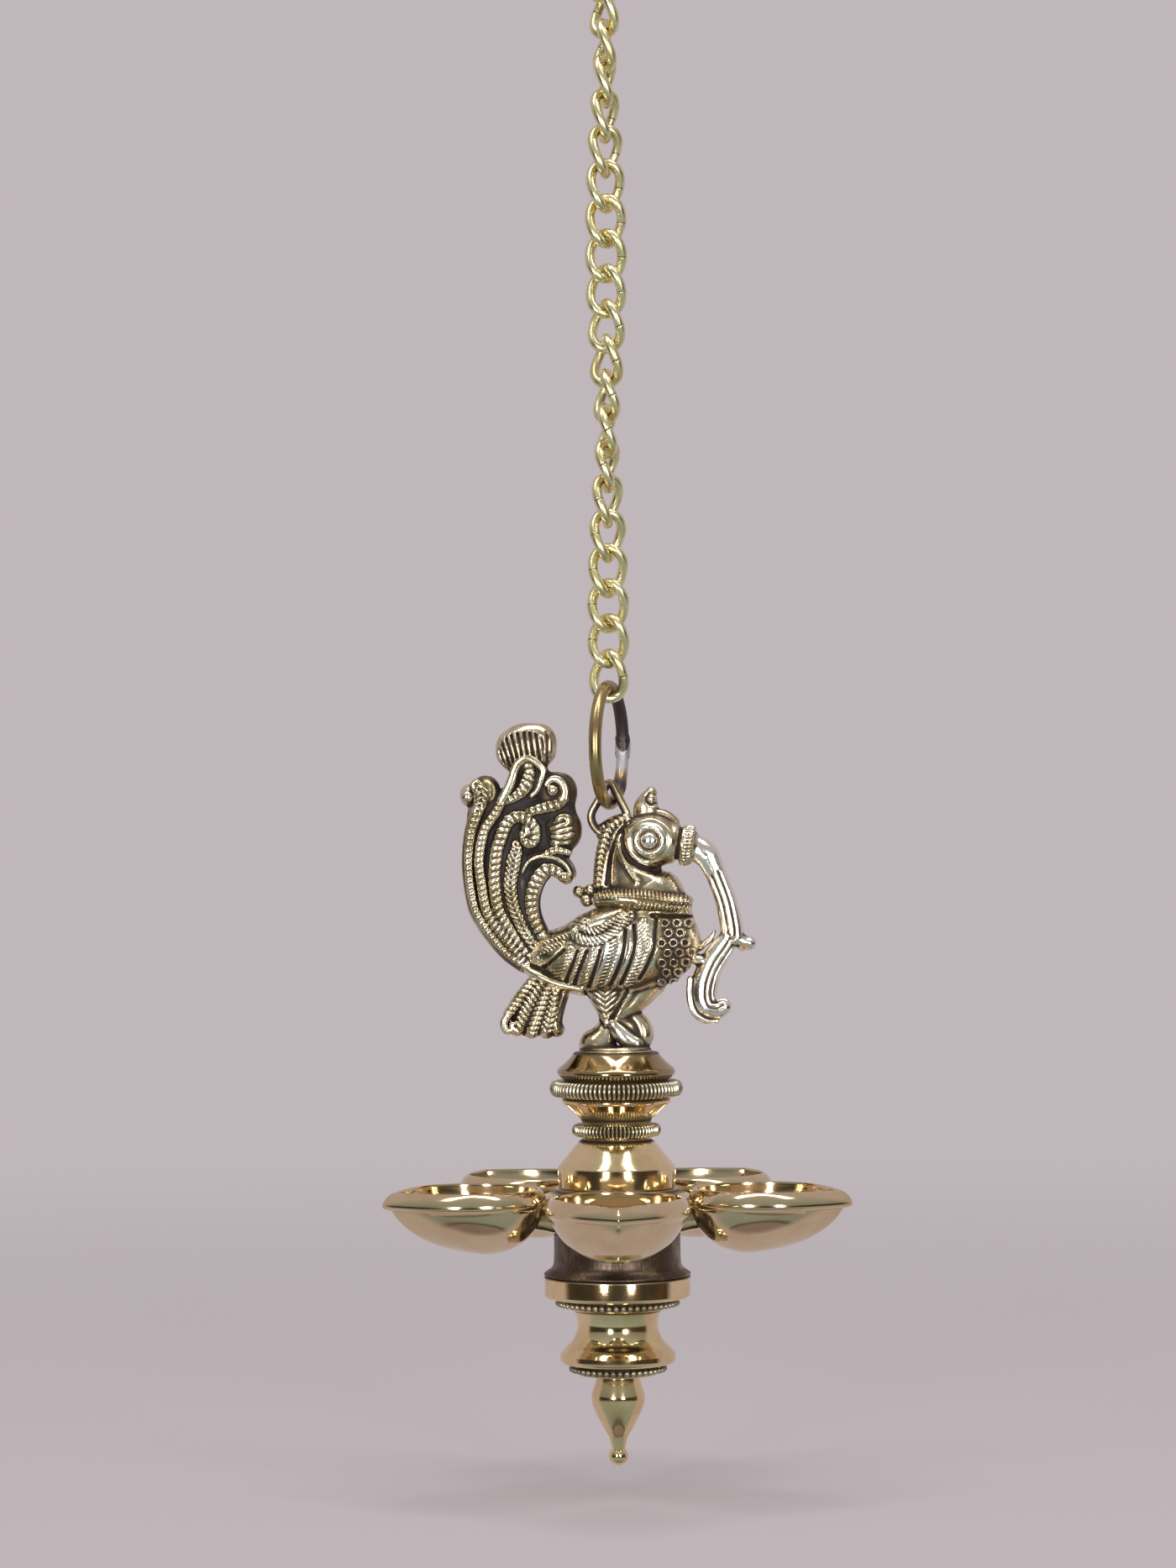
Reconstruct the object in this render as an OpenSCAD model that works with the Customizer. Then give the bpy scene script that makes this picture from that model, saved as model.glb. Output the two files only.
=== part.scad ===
// Hanging oil lamp of cast and turned brass on a chain of twisted oval links.
// A wire hook carries the chain, the chain carries a ring, and the ring carries a bird casting
// whose pedestal holds five pointed oil bowls and a turned drop with a finial.
// Millimetres, Z up. The origin is where the hook bears on whatever holds it.
// +X is the side that the bird faces, and one bowl points along -Y.

/* [Chain] */
// Number of links between the hook and the ring
link_count = 21; // [6:1:40]
// Diameter of the wire that the links are bent from
link_wire = 2.7; // [1.8:0.1:3.2]
// Outer length of one link
link_length = 14.9; // [13:0.1:20]
// Outer width of one link
link_width = 11.3; // [10.4:0.1:15]
// Twist of one link between its upper and its lower end, in degrees
link_twist = 72; // [66:1:86]
// Turn of each link against the one above it, in degrees
chain_turn = -17; // [-20:1:-12]
// Turn of the uppermost link, in degrees
first_turn = 133; // [90:1:180]
// Air between two hanging pieces where one bears on the other
bearing_gap = 0.15; // [0.1:0.01:0.4]

/* [Hook] */
// Diameter of the hook's wire
hook_wire = 3.4; // [2.4:0.1:4]
// Radius of the hook's open crook, to the middle of the wire
crook_r = 9; // [7:0.5:14]
// Radius of the hook's closed eye, to the middle of the wire
hook_eye_r = 5.5; // [5:0.25:9]
// Direction of the crook's free end, in degrees above the horizontal
crook_tip = 10; // [-10:5:40]
// Part of the turn left out where the hook's eye closes, in degrees
hook_eye_slit = 60; // [50:5:80]

/* [Ring] */
// Diameter of the ring, to the middle of the wire
ring_d = 31.3; // [24:0.1:45]
// Diameter of the ring's wire
ring_wire = 3.4; // [2.4:0.1:4]
// Direction of the ring's plane, in degrees from +X
ring_turn = 76; // [60:1:100]
// Length of the solder along the ring, in degrees
solder_span = 18; // [8:1:40]
// Thickness of the solder on the wire
solder_wall = 0.4; // [0.2:0.05:0.8]
// Air between the solder's sleeve and the wire
solder_fit = 0.01; // [0.01:0.01:0.05]

/* [Hanging eye] */
// Inner radius of the eye that the ring passes through
eye_hole_r = 2.5; // [2.3:0.1:3.5]
// Diameter of the eye's bar
eye_bar = 2.2; // [1.6:0.1:2.8]
// Distance of the eye from the axis of the turned pieces
eye_x = -1.3; // [-4:0.1:0]
// Height of the eye's bearing over the foot of the bird
eye_rise = 68.2; // [66:0.1:70]
// Diameter of the eye's shank
eye_shank_d = 2.6; // [2:0.1:3]
// Length of the shank below the eye's bar
eye_shank_length = 7; // [5:0.5:9]
// Air round the shank in its hole
eye_shank_fit = 0.1; // [0.05:0.01:0.2]

/* [Bird] */
// Turn of the bird on its pedestal, in degrees
bird_turn = -4; // [-20:1:20]
// Half of the thickness of the tail feathers
tail_depth = 4.8; // [3.6:0.1:6.5]
// Half of the thickness of the plate behind the tail feathers
tail_plate_depth = 3; // [2:0.1:3.4]
// Half of the thickness of the body
body_depth = 10.5; // [8:0.1:12]
// Half of the thickness of the stem that hangs from the beak
stem_depth = 3.5; // [2.6:0.1:4.5]
// Radius of the plinth under the feet
plinth_r = 10; // [9:0.1:11]
// Height of the plinth
plinth_height = 3; // [2:0.1:4]
// Diameter of the spigot under the plinth
spigot_d = 6.4; // [5:0.1:9]
// Length of the spigot
spigot_length = 8; // [5:0.5:10]
// Air round the spigot and at its end
spigot_fit = 0.2; // [0.1:0.05:0.4]

/* [Pedestal] */
// Radius of the pedestal at the shoulder of its bell
bell_r = 15.7; // [13:0.1:18]
// Height of the upright band at the foot of the bell
bell_band_height = 5.4; // [3:0.1:9]
// Height of the bell's slope
bell_slope_height = 7.5; // [5:0.1:12]
// Radius of the neck between bell and cone
pedestal_neck_r = 9.6; // [7.5:0.1:10.4]
// Radius of the small ribbed ring
small_rib_r = 11.9; // [11:0.1:13]
// Height of the small ribbed ring
small_rib_height = 3; // [2:0.1:4.5]
// Height of the groove on each side of a ribbed ring
groove_height = 1; // [0.6:0.1:2]
// Radius of the wide end of the cone
cone_r = 14.7; // [12.5:0.1:15]
// Height of the cone
cone_height = 5.6; // [4:0.1:9]
// Radius of the large ribbed ring
large_rib_r = 17.8; // [16.5:0.1:20]
// Height of the large ribbed ring
large_rib_height = 4; // [3:0.1:6]
// Radius of the dome at its rim
dome_r = 15.9; // [14.5:0.1:17]
// Height of the dome
dome_height = 6.7; // [5:0.1:10]

/* [Bowls] */
// Number of oil bowls
bowl_count = 5; // [3:1:5]
// Distance of a bowl's tip from the axis
bowl_tip_r = 65; // [58:0.5:80]
// Distance of a bowl's widest place from the axis
bowl_mid_r = 39.5; // [37.5:0.1:44]
// Half of a bowl's width
bowl_half = 19; // [15:0.1:20]
// Depth of a bowl on the outside
bowl_depth = 17.5; // [13:0.1:22]
// Thickness of a bowl's wall
bowl_wall = 1.6; // [1.2:0.1:2.4]
// Height of the lip round a bowl
lip_height = 4.2; // [2.5:0.1:6]
// How far the lip stands out from the wall
lip_out = 0.7; // [0.3:0.1:1.2]
// How far a bowl's rim stands above the top of the hub
rim_rise = 1; // [0:0.1:3]
// How far a bowl's deepest place lies towards the hub
bowl_set_back = 2.5; // [0:0.1:4]
// How far a bowl's tip droops below its rim
tip_droop = 1; // [0:0.1:2]
// Radius of the hub
hub_r = 16.9; // [15.9:0.1:19]
// Height of the hub
hub_height = 12; // [8:0.1:14]
// Width of the neck between the hub and a bowl
bowl_neck_width = 15; // [10:0.5:18]

/* [Drop] */
// Height of the stem collar
collar_height = 11.4; // [6:0.1:18]
// Thickness of the collar's lip where its flare starts
collar_lip = 1.2; // [0.8:0.1:2]
// Radius of the flared lip and of the flange
flange_r = 19.6; // [18:0.1:24]
// Height of the flange's polished band
flange_height = 5.8; // [3:0.1:9]
// Radius of the beaded row under the flange
bead_row_r = 17.1; // [15:0.1:19]
// Height of a beaded row
bead_row_height = 3.2; // [2.4:0.1:4.5]
// Radius of the spool at its waist
waist_r = 10.9; // [8:0.1:13]
// Height of the spool's waist down to its flange
waist_height = 11.4; // [9:0.1:16]
// Radius of the spool's flange
spool_r = 15.5; // [14:0.1:18]
// Height of the spool's flange
spool_flange_height = 3; // [2:0.1:5]
// Radius of the beaded row under the spool
spool_bead_r = 13.4; // [11:0.1:14]
// Length of the finial
finial_length = 24.4; // [20:0.1:32]
// Largest radius of the finial
finial_r = 7.2; // [6.5:0.1:9]
// Radius of the finial's neck
finial_neck_r = 5.7; // [4.8:0.1:6.4]
// Depth of the finial's widest place below its neck
finial_bulb_drop = 6.2; // [5:0.1:8]
// Radius of the ball at the finial's tip
finial_ball_r = 2.6; // [1.5:0.1:4]

/* [Tie rod] */
// Diameter of the threaded rod through the turned pieces
rod_d = 6; // [4:0.25:7]
// Air round the rod, as in a thread
thread_gap = 0.1; // [0.05:0.01:0.2]
// Length of the rod inside the pedestal
rod_in_pedestal = 20; // [12:0.5:24]
// Length of the rod inside the finial
rod_in_finial = 8; // [5:0.5:10]
// Air at each end of the rod
rod_end_gap = 0.5; // [0.2:0.1:1]

/* [Hidden] */

brass = [0.82, 0.68, 0.36];
old_brass = [0.62, 0.50, 0.26];
bronze = [0.45, 0.35, 0.20];
solder_grey = [0.78, 0.76, 0.72];
dark_brass = [0.30, 0.23, 0.15];

// Heights of the hook
crook_z = hook_wire / 2 - crook_r;
hook_eye_z = crook_z - crook_r - hook_eye_r;
hook_bearing_z = hook_eye_z - hook_eye_r + hook_wire / 2;

// Heights of the chain
link_a = (link_length - link_wire) / 2;
link_b = (link_width - link_wire) / 2;
link_pitch = 2 * link_a - link_wire - bearing_gap;
first_link_z = hook_bearing_z + bearing_gap + link_wire / 2 - link_a;
last_link_z = first_link_z - (link_count - 1) * link_pitch;
chain_bearing_z = last_link_z - link_a + link_wire / 2;
oval_power = 2 / 2.2;
wire_sides = 8;
link_stations = 20;

// Heights of the pedestal's parts, from its foot
neck_low = bell_band_height + bell_slope_height;
neck_high = neck_low + small_rib_height + 2 * groove_height;
cone_high = neck_high + cone_height;
dome_low = cone_high + large_rib_height + 2 * groove_height;
pedestal_height = dome_low + dome_height;

// Size of the bird against the one at which its ribs are drawn, so that it carries its eye
bird_scale = eye_rise / 68.2;
crown_z = 62 * bird_scale;

// Heights of the ring and of the lamp under it
ring_z = chain_bearing_z + bearing_gap + ring_wire / 2 - ring_d / 2;
ring_bearing_z = ring_z - ring_d / 2 + ring_wire / 2;
eye_r = eye_hole_r + eye_bar / 2;
lamp_x = -eye_x;
lamp_z = ring_bearing_z + bearing_gap - eye_rise - pedestal_height;

// Heights in the lamp, from the seam between pedestal and bowls
collar_top = -hub_height;
flange_top = collar_top - collar_height;
spool_top = flange_top - flange_height - bead_row_height;
finial_top = spool_top - waist_height - spool_flange_height - bead_row_height;
bore_d = rod_d + 2 * thread_gap;
rod_top = rod_in_pedestal;
rod_bottom = finial_top - rod_in_finial;
eps = 0.01;

function link_name(k) = str("link_", k < 10 ? "0" : "", k);
function link_z(k) = first_link_z - (k - 1) * link_pitch;
function link_turn(k) = first_turn + (k - 1) * chain_turn;

// Signed power, for rounded ovals
function spow(v, e) = sign(v) * pow(abs(v), e);

// A point on the middle line of a twisted link
function link_point(t) =
    let (x = link_b * spow(cos(t), oval_power), z = link_a * spow(sin(t), oval_power))
    let (f = -link_twist * z / (2 * link_a))
    [x * cos(f), x * sin(f), z];

// Across the link's own plane at that point
function link_across(t) =
    let (f = -link_twist * spow(sin(t), oval_power) / 2)
    [-sin(f), cos(f), 0];

function unit(v) = v / norm(v);

// One round of wire at parameter t
function wire_round(t) =
    let (go = unit(link_point(t + 0.5) - link_point(t - 0.5)))
    let (n = unit(cross(link_across(t), go)))
    let (b = cross(go, n))
    [for (j = [0:wire_sides - 1])
        let (a = 360 * j / wire_sides)
        link_point(t) + link_wire / 2 * (cos(a) * n + sin(a) * b)];

// Faces between successive rounds, each of m points, joined end to start when closed
function tube_faces(n, m, closed) = [
    for (i = [0:closed ? n - 1 : n - 2], j = [0:m - 1])
        let (p = i * m, q = ((i + 1) % n) * m, k = (j + 1) % m)
        each [[p + j, q + j, q + k], [p + j, q + k, p + k]]
];

// A smooth line through control points of any width
function through(p, a, t) =
    let (last = len(p) - 1)
    let (p0 = p[max(a - 1, 0)], p1 = p[a], p2 = p[min(a + 1, last)], p3 = p[min(a + 2, last)])
    0.5 * (2 * p1 + (p2 - p0) * t + (2 * p0 - 5 * p1 + 4 * p2 - p3) * t * t
        + (3 * p1 - p0 - 3 * p2 + p3) * t * t * t);

function smooth_line(p, steps) = [
    for (a = [0:len(p) - 2], s = [0:steps - 1]) through(p, a, s / steps),
    p[len(p) - 1]
];

// An arc of points in a turned outline, about [r, z]
function arc(r, z, rad, from, to, n) = [
    for (i = [0:n]) let (a = from + (to - from) * i / n) [r + rad * cos(a), z + rad * sin(a)]
];

// Outline of a bowl seen from above, as [radial, across], shrunk inwards by inset
function bowl_outline(inset, n) =
    let (h = bowl_half - inset, reach = bowl_tip_r - bowl_mid_r - 1.5 * inset)
    [for (i = [0:n - 1])
        let (a = 360 * i / n, c = cos(a))
        c > 0
            ? [bowl_mid_r + reach * (1 - pow(1 - c, 0.9)), h * spow(sin(a), 1 + 0.55 * c)]
            : [bowl_mid_r + h * c, h * sin(a)]];

// Oval swept along a line in the XZ plane
// Each entry of the line is [x, z, half width, half depth]
module swept(line, sides) {
    n = len(line);
    points = [
        for (i = [0:n - 1])
            let (p = line[i], u = line[min(i + 1, n - 1)] - line[max(i - 1, 0)])
            let (go = unit([u[0], u[1]]))
            for (j = [0:sides - 1])
                let (a = 360 * j / sides)
                [p[0] + go[1] * p[2] * cos(a), p[3] * sin(a), p[1] - go[0] * p[2] * cos(a)]
    ];
    first = [for (j = [0:sides - 1]) j];
    last = [for (j = [0:sides - 1]) n * sides - 1 - j];
    polyhedron(points, concat([first], tube_faces(n, sides, false), [last]));
}

// Wire hook bent from one length: an open crook that runs on into a closed eye
module ceiling_hook() {
    wire = hook_wire / 2;
    crook = arc(0, crook_z, crook_r, crook_tip, 270, 26);
    eye = arc(0, hook_eye_z, hook_eye_r, 90, hook_eye_slit - 270, 30);
    line = concat(crook, [for (i = [1:len(eye) - 1]) eye[i]]);
    color(brass)
        swept([for (p = line) [p[0], p[1], wire, wire]], 10);
}

// Twisted oval link of round wire
module chain_link(k) {
    points = [for (i = [0:link_stations - 1]) each wire_round(360 * i / link_stations)];
    color(brass)
        translate([0, 0, link_z(k)])
            rotate([0, 0, link_turn(k)])
                polyhedron(points, tube_faces(link_stations, wire_sides, true));
}

// Ring of round wire between chain and lamp
module suspension_ring() {
    color(bronze)
        translate([0, 0, ring_z])
            rotate([90, 0, ring_turn])
                rotate_extrude($fn = 96)
                    translate([ring_d / 2, 0])
                        circle(d = ring_wire, $fn = 32);
}

// Sleeve of solder over the ring's joint
module ring_solder() {
    color(solder_grey)
        translate([0, 0, ring_z])
            rotate([90, 0, ring_turn])
                rotate([0, 0, -solder_span / 2])
                    rotate_extrude(angle = solder_span, $fn = 96)
                        translate([ring_d / 2, 0])
                            difference() {
                                circle(d = ring_wire + 2 * solder_fit + 2 * solder_wall, $fn = 32);
                                circle(d = ring_wire + 2 * solder_fit, $fn = 32);
                            }
}

// Places children in the lamp's frame, with the seam over the bowls at zero
module in_lamp() {
    translate([lamp_x, 0, lamp_z])
        children();
}

// Places children in the bird's frame, with the foot of the plinth at zero
module in_bird() {
    in_lamp()
        translate([0, 0, pedestal_height])
            rotate([0, 0, bird_turn])
                children();
}

// Places children at the middle of the hanging eye
module at_eye() {
    in_lamp()
        translate([eye_x, 0, pedestal_height + eye_rise - eye_hole_r])
            rotate([0, 0, bird_turn])
                children();
}

// Loop with a shank that is brazed into the bird's neck
module hanging_eye() {
    color(old_brass)
        at_eye() {
            rotate([90, 0, 0])
                rotate_extrude($fn = 64)
                    translate([eye_r, 0])
                        circle(d = eye_bar, $fn = 32);
            translate([0, 0, -eye_r - eye_shank_length])
                cylinder(d = eye_shank_d, h = eye_shank_length, $fn = 32);
        }
}

// Oval rib along a smooth line in the bird's plane
// Each control point is [x, z, half width, share of the depth]
module rib(controls, depth, steps = 2, sides = 8) {
    swept([for (p = smooth_line(controls, steps)) [p[0], p[1], p[2], depth * p[3]]], sides);
}

// Egg between two balls
module blend(p, q, rp, rq, flat) {
    hull() {
        translate([p[0], 0, p[1]])
            scale([1, flat, 1])
                sphere(r = rp, $fn = 10);
        translate([q[0], 0, q[1]])
            scale([1, flat, 1])
                sphere(r = rq, $fn = 10);
    }
}

// Long feathers of the tail, from the outer edge to the inner curl
module tail_feathers() {
    rib([[-23, 23, 1.4, 0.7], [-29, 26, 1.8, 0.85], [-35, 34, 2, 1], [-38, 43.5, 2, 1],
         [-39.5, 53.5, 2, 1], [-38.5, 62.5, 2.7, 1], [-36.5, 69, 4.7, 1], [-36, 72.5, 3.4, 0.85],
         [-36, 74, 0.9, 0.4]], tail_depth);
    rib([[-22.5, 24, 1.4, 0.7], [-27.5, 28.5, 1.8, 0.85], [-33, 38, 2, 1], [-36, 48.5, 2, 1],
         [-35, 58, 2.2, 1], [-31.5, 65, 2.5, 1], [-28, 70, 2.2, 0.9]], tail_depth);
    rib([[-21, 25, 1.6, 0.7], [-25.5, 29, 1.8, 0.85], [-29.5, 37, 2, 0.95],
         [-32, 47, 2, 0.95], [-31.5, 55, 2.2, 0.95], [-29, 61, 2.5, 0.95],
         [-24.5, 63, 2.7, 0.95], [-20, 60, 2.9, 0.95], [-20, 56, 2.7, 0.95],
         [-23.5, 55, 2, 0.8]], tail_depth);
    rib([[-19.5, 27.5, 1.8, 0.75], [-23, 30.5, 2, 0.85], [-27, 38, 2.2, 0.95],
         [-28, 46, 2.2, 0.95], [-27, 52, 2, 0.95], [-25.5, 56, 1.4, 0.8]], tail_depth);
    rib([[-17.5, 29.5, 2, 0.75], [-20.5, 32.5, 2.2, 0.85], [-22.5, 38, 2, 0.95],
         [-22.5, 43.5, 2, 0.95], [-20, 47, 2, 0.95], [-17, 48.5, 2, 0.95],
         [-14, 47.5, 1.8, 0.9], [-12, 46, 0.7, 0.5]], tail_depth);
}

// Plume, leaf, scrolls and lobes at the top of the tail, on their plate
module tail_top() {
    rib([[-30.5, 66, 1.6, 0.8], [-27, 70, 3.6, 1.05], [-23, 75.5, 4.5, 1.05],
         [-20.5, 78.5, 3.8, 1], [-20, 80.5, 1.4, 0.6]], tail_depth);
    rib([[-31.5, 81, 1.4, 0.5], [-29, 83, 4.3, 0.9], [-23.5, 83, 5, 1], [-18, 82, 5, 0.9],
         [-15.5, 80.5, 1.8, 0.5]], tail_depth);
    rib([[-27, 63, 1.4, 0.8], [-21, 65, 2.2, 0.9], [-15.5, 67.5, 3.1, 0.95],
         [-13.5, 70.5, 3.8, 0.95], [-15.5, 73.5, 2.7, 0.85], [-17.5, 74, 0.9, 0.4]], tail_depth);
    rib([[-13, 67, 1.6, 0.7], [-12.5, 63.5, 3.8, 0.9], [-12.5, 59.5, 3.8, 0.9], [-14, 56, 3.4, 0.85],
         [-16.5, 53, 1.6, 0.7]], tail_depth);
    rib([[-23.5, 49.5, 1.1, 0.8], [-21, 52, 1.6, 0.9], [-16.5, 53.5, 2, 0.9], [-12.5, 51.5, 1.8, 0.85],
         [-11, 47, 0.9, 0.6]], tail_depth);
    rotate([90, 0, 0])
        linear_extrude(height = 2 * tail_plate_depth, center = true)
            polygon([[-37.5, 65.5], [-39.5, 54], [-38, 43], [-34, 33], [-28, 25.5],
                     [-22, 22.5], [-18, 29], [-22, 37], [-22, 43], [-18.5, 47.5],
                     [-11, 51], [-9.5, 59.5], [-11, 68.5], [-17.5, 75.5], [-25, 72],
                     [-30.5, 65]]);
}

// Three feathers that hang under the tail
module under_tail() {
    rib([[-18.5, 22, 2, 0.9], [-22.5, 14.5, 2.2, 1], [-27.5, 6.5, 2.2, 0.95], [-29.5, 2.5, 0.9, 0.5]],
        tail_depth);
    rib([[-17.5, 20.5, 1.8, 0.9], [-19.5, 13.5, 2.2, 1], [-22, 6, 2.2, 0.95], [-23, 2, 0.9, 0.5]],
        tail_depth);
    rib([[-15.5, 19.5, 2, 0.9], [-16, 12.5, 2.2, 1], [-17, 6, 2, 0.95], [-17, 2.5, 0.9, 0.5]],
        tail_depth);
}

// Body, neck, head and legs
module bird_body() {
    rib([[-24, 24.5, 1.1, 0.2], [-17.5, 26, 6.8, 0.6], [-9, 25, 9.5, 0.85], [0.5, 26.5, 11, 1],
         [10.5, 29, 11.9, 1], [18, 30, 10.6, 0.9], [22, 29.5, 6.8, 0.65], [24, 28.5, 1.1, 0.2]],
        body_depth, 3, 14);
    rib([[9, 36, 8.1, 0.85], [5.5, 43.5, 7.7, 0.72], [3.5, 49.5, 6.5, 0.62], [4, 54.5, 5.9, 0.58],
         [7, 56.5, 5.4, 0.55]], body_depth, 2, 12);
    rib([[2, 56, 1.4, 0.2], [4.5, 56, 5.6, 0.5], [9.5, 56.5, 7.4, 0.62], [15, 56, 6.1, 0.55],
         [18.5, 55, 5, 0.48]], body_depth, 3, 12);
    rib([[17, 55.5, 5, 0.46], [18, 55.5, 6.1, 0.54], [21, 55, 5.9, 0.52], [22.5, 54.5, 4.5, 0.42]],
        body_depth, 2, 12);
    rib([[-4.5, 41, 1.1, 0.3], [-1.5, 41, 2.5, 0.68], [6.5, 41, 3.4, 0.92], [14.5, 40.5, 3.4, 0.82],
         [19, 39.5, 2, 0.4]], body_depth, 2, 10);
    rib([[2, 62.5, 1.6, 0.26], [-1.5, 60, 2, 0.28], [-3.5, 55.5, 2, 0.28], [-4.5, 50.5, 1.8, 0.27],
         [-4.5, 44.5, 1.6, 0.25]], body_depth);
    rib([[-2.5, 20.5, 6.1, 0.62], [-2.5, 15, 5, 0.5], [-2.5, 9.5, 2, 0.34], [-3, 5.5, 3.4, 0.4],
         [-3.5, 2, 5, 0.55]], body_depth);
    rib([[9, 18.5, 4.5, 0.5], [5.5, 13.5, 3.1, 0.36], [2, 9, 2.5, 0.3], [3, 5, 2.5, 0.3],
         [5, 2, 2.5, 0.3]], body_depth);
    rib([[3.5, 10, 1.4, 0.2], [6.5, 7.2, 2, 0.26], [8.4, 4.4, 1.9, 0.26], [8, 2.2, 1.5, 0.22]], body_depth);
}

// Stem that falls from the beak and curls under the breast
module beak_stem() {
    rib([[20.5, 54.5, 3.4, 1], [23.5, 54, 3.8, 1.05], [26.5, 49.5, 3.6, 1], [29, 42.5, 3.1, 0.95],
         [30.5, 36.5, 3.4, 0.95], [31.5, 32.5, 3.4, 0.95], [30, 29, 2.7, 0.9], [27.5, 25, 2.9, 0.9],
         [25, 20, 3.8, 0.9], [24.5, 14, 4.5, 0.95], [25.5, 10, 2.9, 0.7], [26, 8.5, 0.7, 0.3]],
        stem_depth, 2, 8);
}

// Knobs and small blends: crest, stem knob, necklace knot and scroll bosses
module bird_knobs() {
    blend([9.5, 62], [9.5, 68.5], 2.6, 2.8, 0.9);
    blend([32.5, 31.5], [36, 28.5], 1.4, 1.8, 1);
    blend([22, 24.5], [26.5, 23.5], 3.2, 2.4, 0.9);
    blend([-2, 41.5], [-7.5, 41.5], 2.4, 2.8, 1.2);
    blend([-5, 42], [-9.5, 42.5], 2.2, 1.8, 1.2);
    blend([-4, 39.5], [-6.5, 38.5], 2, 1.7, 1.2);
    blend([-23.5, 58.5], [-22.5, 57.5], 3, 3, 1.4);
    blend([-16, 70.5], [-15.5, 69.5], 3.2, 3.2, 1.3);
}

// Seat of the hanging eye on the crown of the neck
module eye_seat() {
    blend([eye_x, eye_rise - 2 * eye_r - 1.4], [0, crown_z - 9], eye_shank_d / 2 + 1.6,
          eye_shank_d / 2 + 2.3, 1);
}

// The whole bird casting with its plinth and spigot
module bird() {
    color(old_brass)
        difference() {
            in_bird()
                union() {
                    scale([bird_scale, 1, bird_scale]) {
                        tail_feathers();
                        tail_top();
                        under_tail();
                        bird_body();
                        beak_stem();
                    }
                    scale(bird_scale)
                        bird_knobs();
                    eye_seat();
                    cylinder(r = plinth_r, h = plinth_height, $fn = 48);
                    translate([0, 0, -spigot_length])
                        cylinder(d = spigot_d, h = spigot_length + eps, $fn = 32);
                }
            at_eye() {
                translate([0, 0, -eye_r - eye_shank_length - eye_shank_fit])
                    cylinder(d = eye_shank_d + 2 * eye_shank_fit, h = eye_shank_length + eye_r,
                             $fn = 32);
                rotate([90, 0, 0])
                    cylinder(r = eye_r + eye_bar / 2 + eye_shank_fit,
                             h = eye_bar + 2 * eye_shank_fit, center = true, $fn = 48);
            }
        }
}

// Turned pedestal: bell, small ribbed ring, cone, large ribbed ring and dome
module pedestal() {
    top = pedestal_height;
    neck = pedestal_neck_r;
    small = small_rib_height / 2;
    large = large_rib_height / 2;
    shoulder = 0.7;
    edge = 0.5;
    outline = concat(
        [[0, 0], [bell_r - 0.4, 0]],
        arc(bell_r - shoulder, bell_band_height, shoulder, 0, 50, 4),
        [[neck + (bell_r - neck) * 0.55, bell_band_height + bell_slope_height * 0.5],
         [neck + 0.6, neck_low - 0.5], [neck, neck_low]],
        arc(small_rib_r - small, neck_low + groove_height + small, small, -80, 80, 8),
        [[neck, neck_high], [neck, neck_high + 0.4], [cone_r - 0.2, cone_high - 0.6],
         [cone_r, cone_high - 0.1], [cone_r - 0.7, cone_high + 0.5]],
        arc(large_rib_r - large, cone_high + groove_height + large, large, -80, 80, 10),
        [[dome_r - 1.2, dome_low - 0.4], [dome_r - 0.9, dome_low + 0.3]],
        arc(dome_r - edge, dome_low + 1.6, edge, -60, 60, 4),
        [[(dome_r + plinth_r) / 2 + 1.1, dome_low + dome_height * 0.5], [plinth_r + 2.2, top - 1.3],
         [plinth_r + 1.2, top], [0, top]]
    );
    color(brass)
        in_lamp()
            difference() {
                rotate_extrude($fn = 96)
                    polygon(outline);
                translate([0, 0, -eps])
                    cylinder(d = bore_d, h = rod_in_pedestal + rod_end_gap + eps, $fn = 48);
                translate([0, 0, top - spigot_length - spigot_fit])
                    cylinder(d = spigot_d + 2 * spigot_fit, h = spigot_length + spigot_fit + eps,
                             $fn = 48);
            }
}

// A layer of a bowl: its outline shrunk by inset, set down, and set back towards the hub
module bowl_layer(inset, down, back = 0) {
    translate([-back, 0, rim_rise - down])
        linear_extrude(height = eps)
            polygon(bowl_outline(inset, 24));
}

// Rounded underside of a bowl: layers that shrink with depth
module bowl_belly(inset, depth) {
    hull()
        for (a = [0, 24, 46, 64, 78])
            bowl_layer(inset + (bowl_half - inset) * (1 - cos(a)),
                       tip_droop + (depth - tip_droop) * sin(a), bowl_set_back * sin(a));
}

// Rim of a bowl, level round its back and drooping to its tip
module bowl_rim() {
    hull()
        intersection() {
            bowl_band(0, tip_droop, 0);
            rotate([90, 0, 0])
                linear_extrude(height = 4 * bowl_half, center = true)
                    polygon([[0, rim_rise], [bowl_mid_r + 8, rim_rise],
                             [bowl_tip_r + 1, rim_rise - tip_droop + eps],
                             [bowl_tip_r + 1, rim_rise - tip_droop - 1], [0, rim_rise - tip_droop - 1]]);
        }
}

// Upright band of a bowl's outline between two depths
module bowl_band(inset, low, high) {
    translate([0, 0, rim_rise - low])
        linear_extrude(height = low - high + eps)
            polygon(bowl_outline(inset, 24));
}

// Outside of a bowl with its lip
module bowl_outside() {
    bowl_belly(lip_out, bowl_depth);
    bowl_band(0, lip_height, tip_droop);
    bowl_rim();
}

// Hollow of a bowl
module bowl_inside() {
    wall = bowl_wall + lip_out;
    bowl_belly(wall, bowl_depth - bowl_wall);
    bowl_band(wall, tip_droop, -eps);
}

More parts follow.
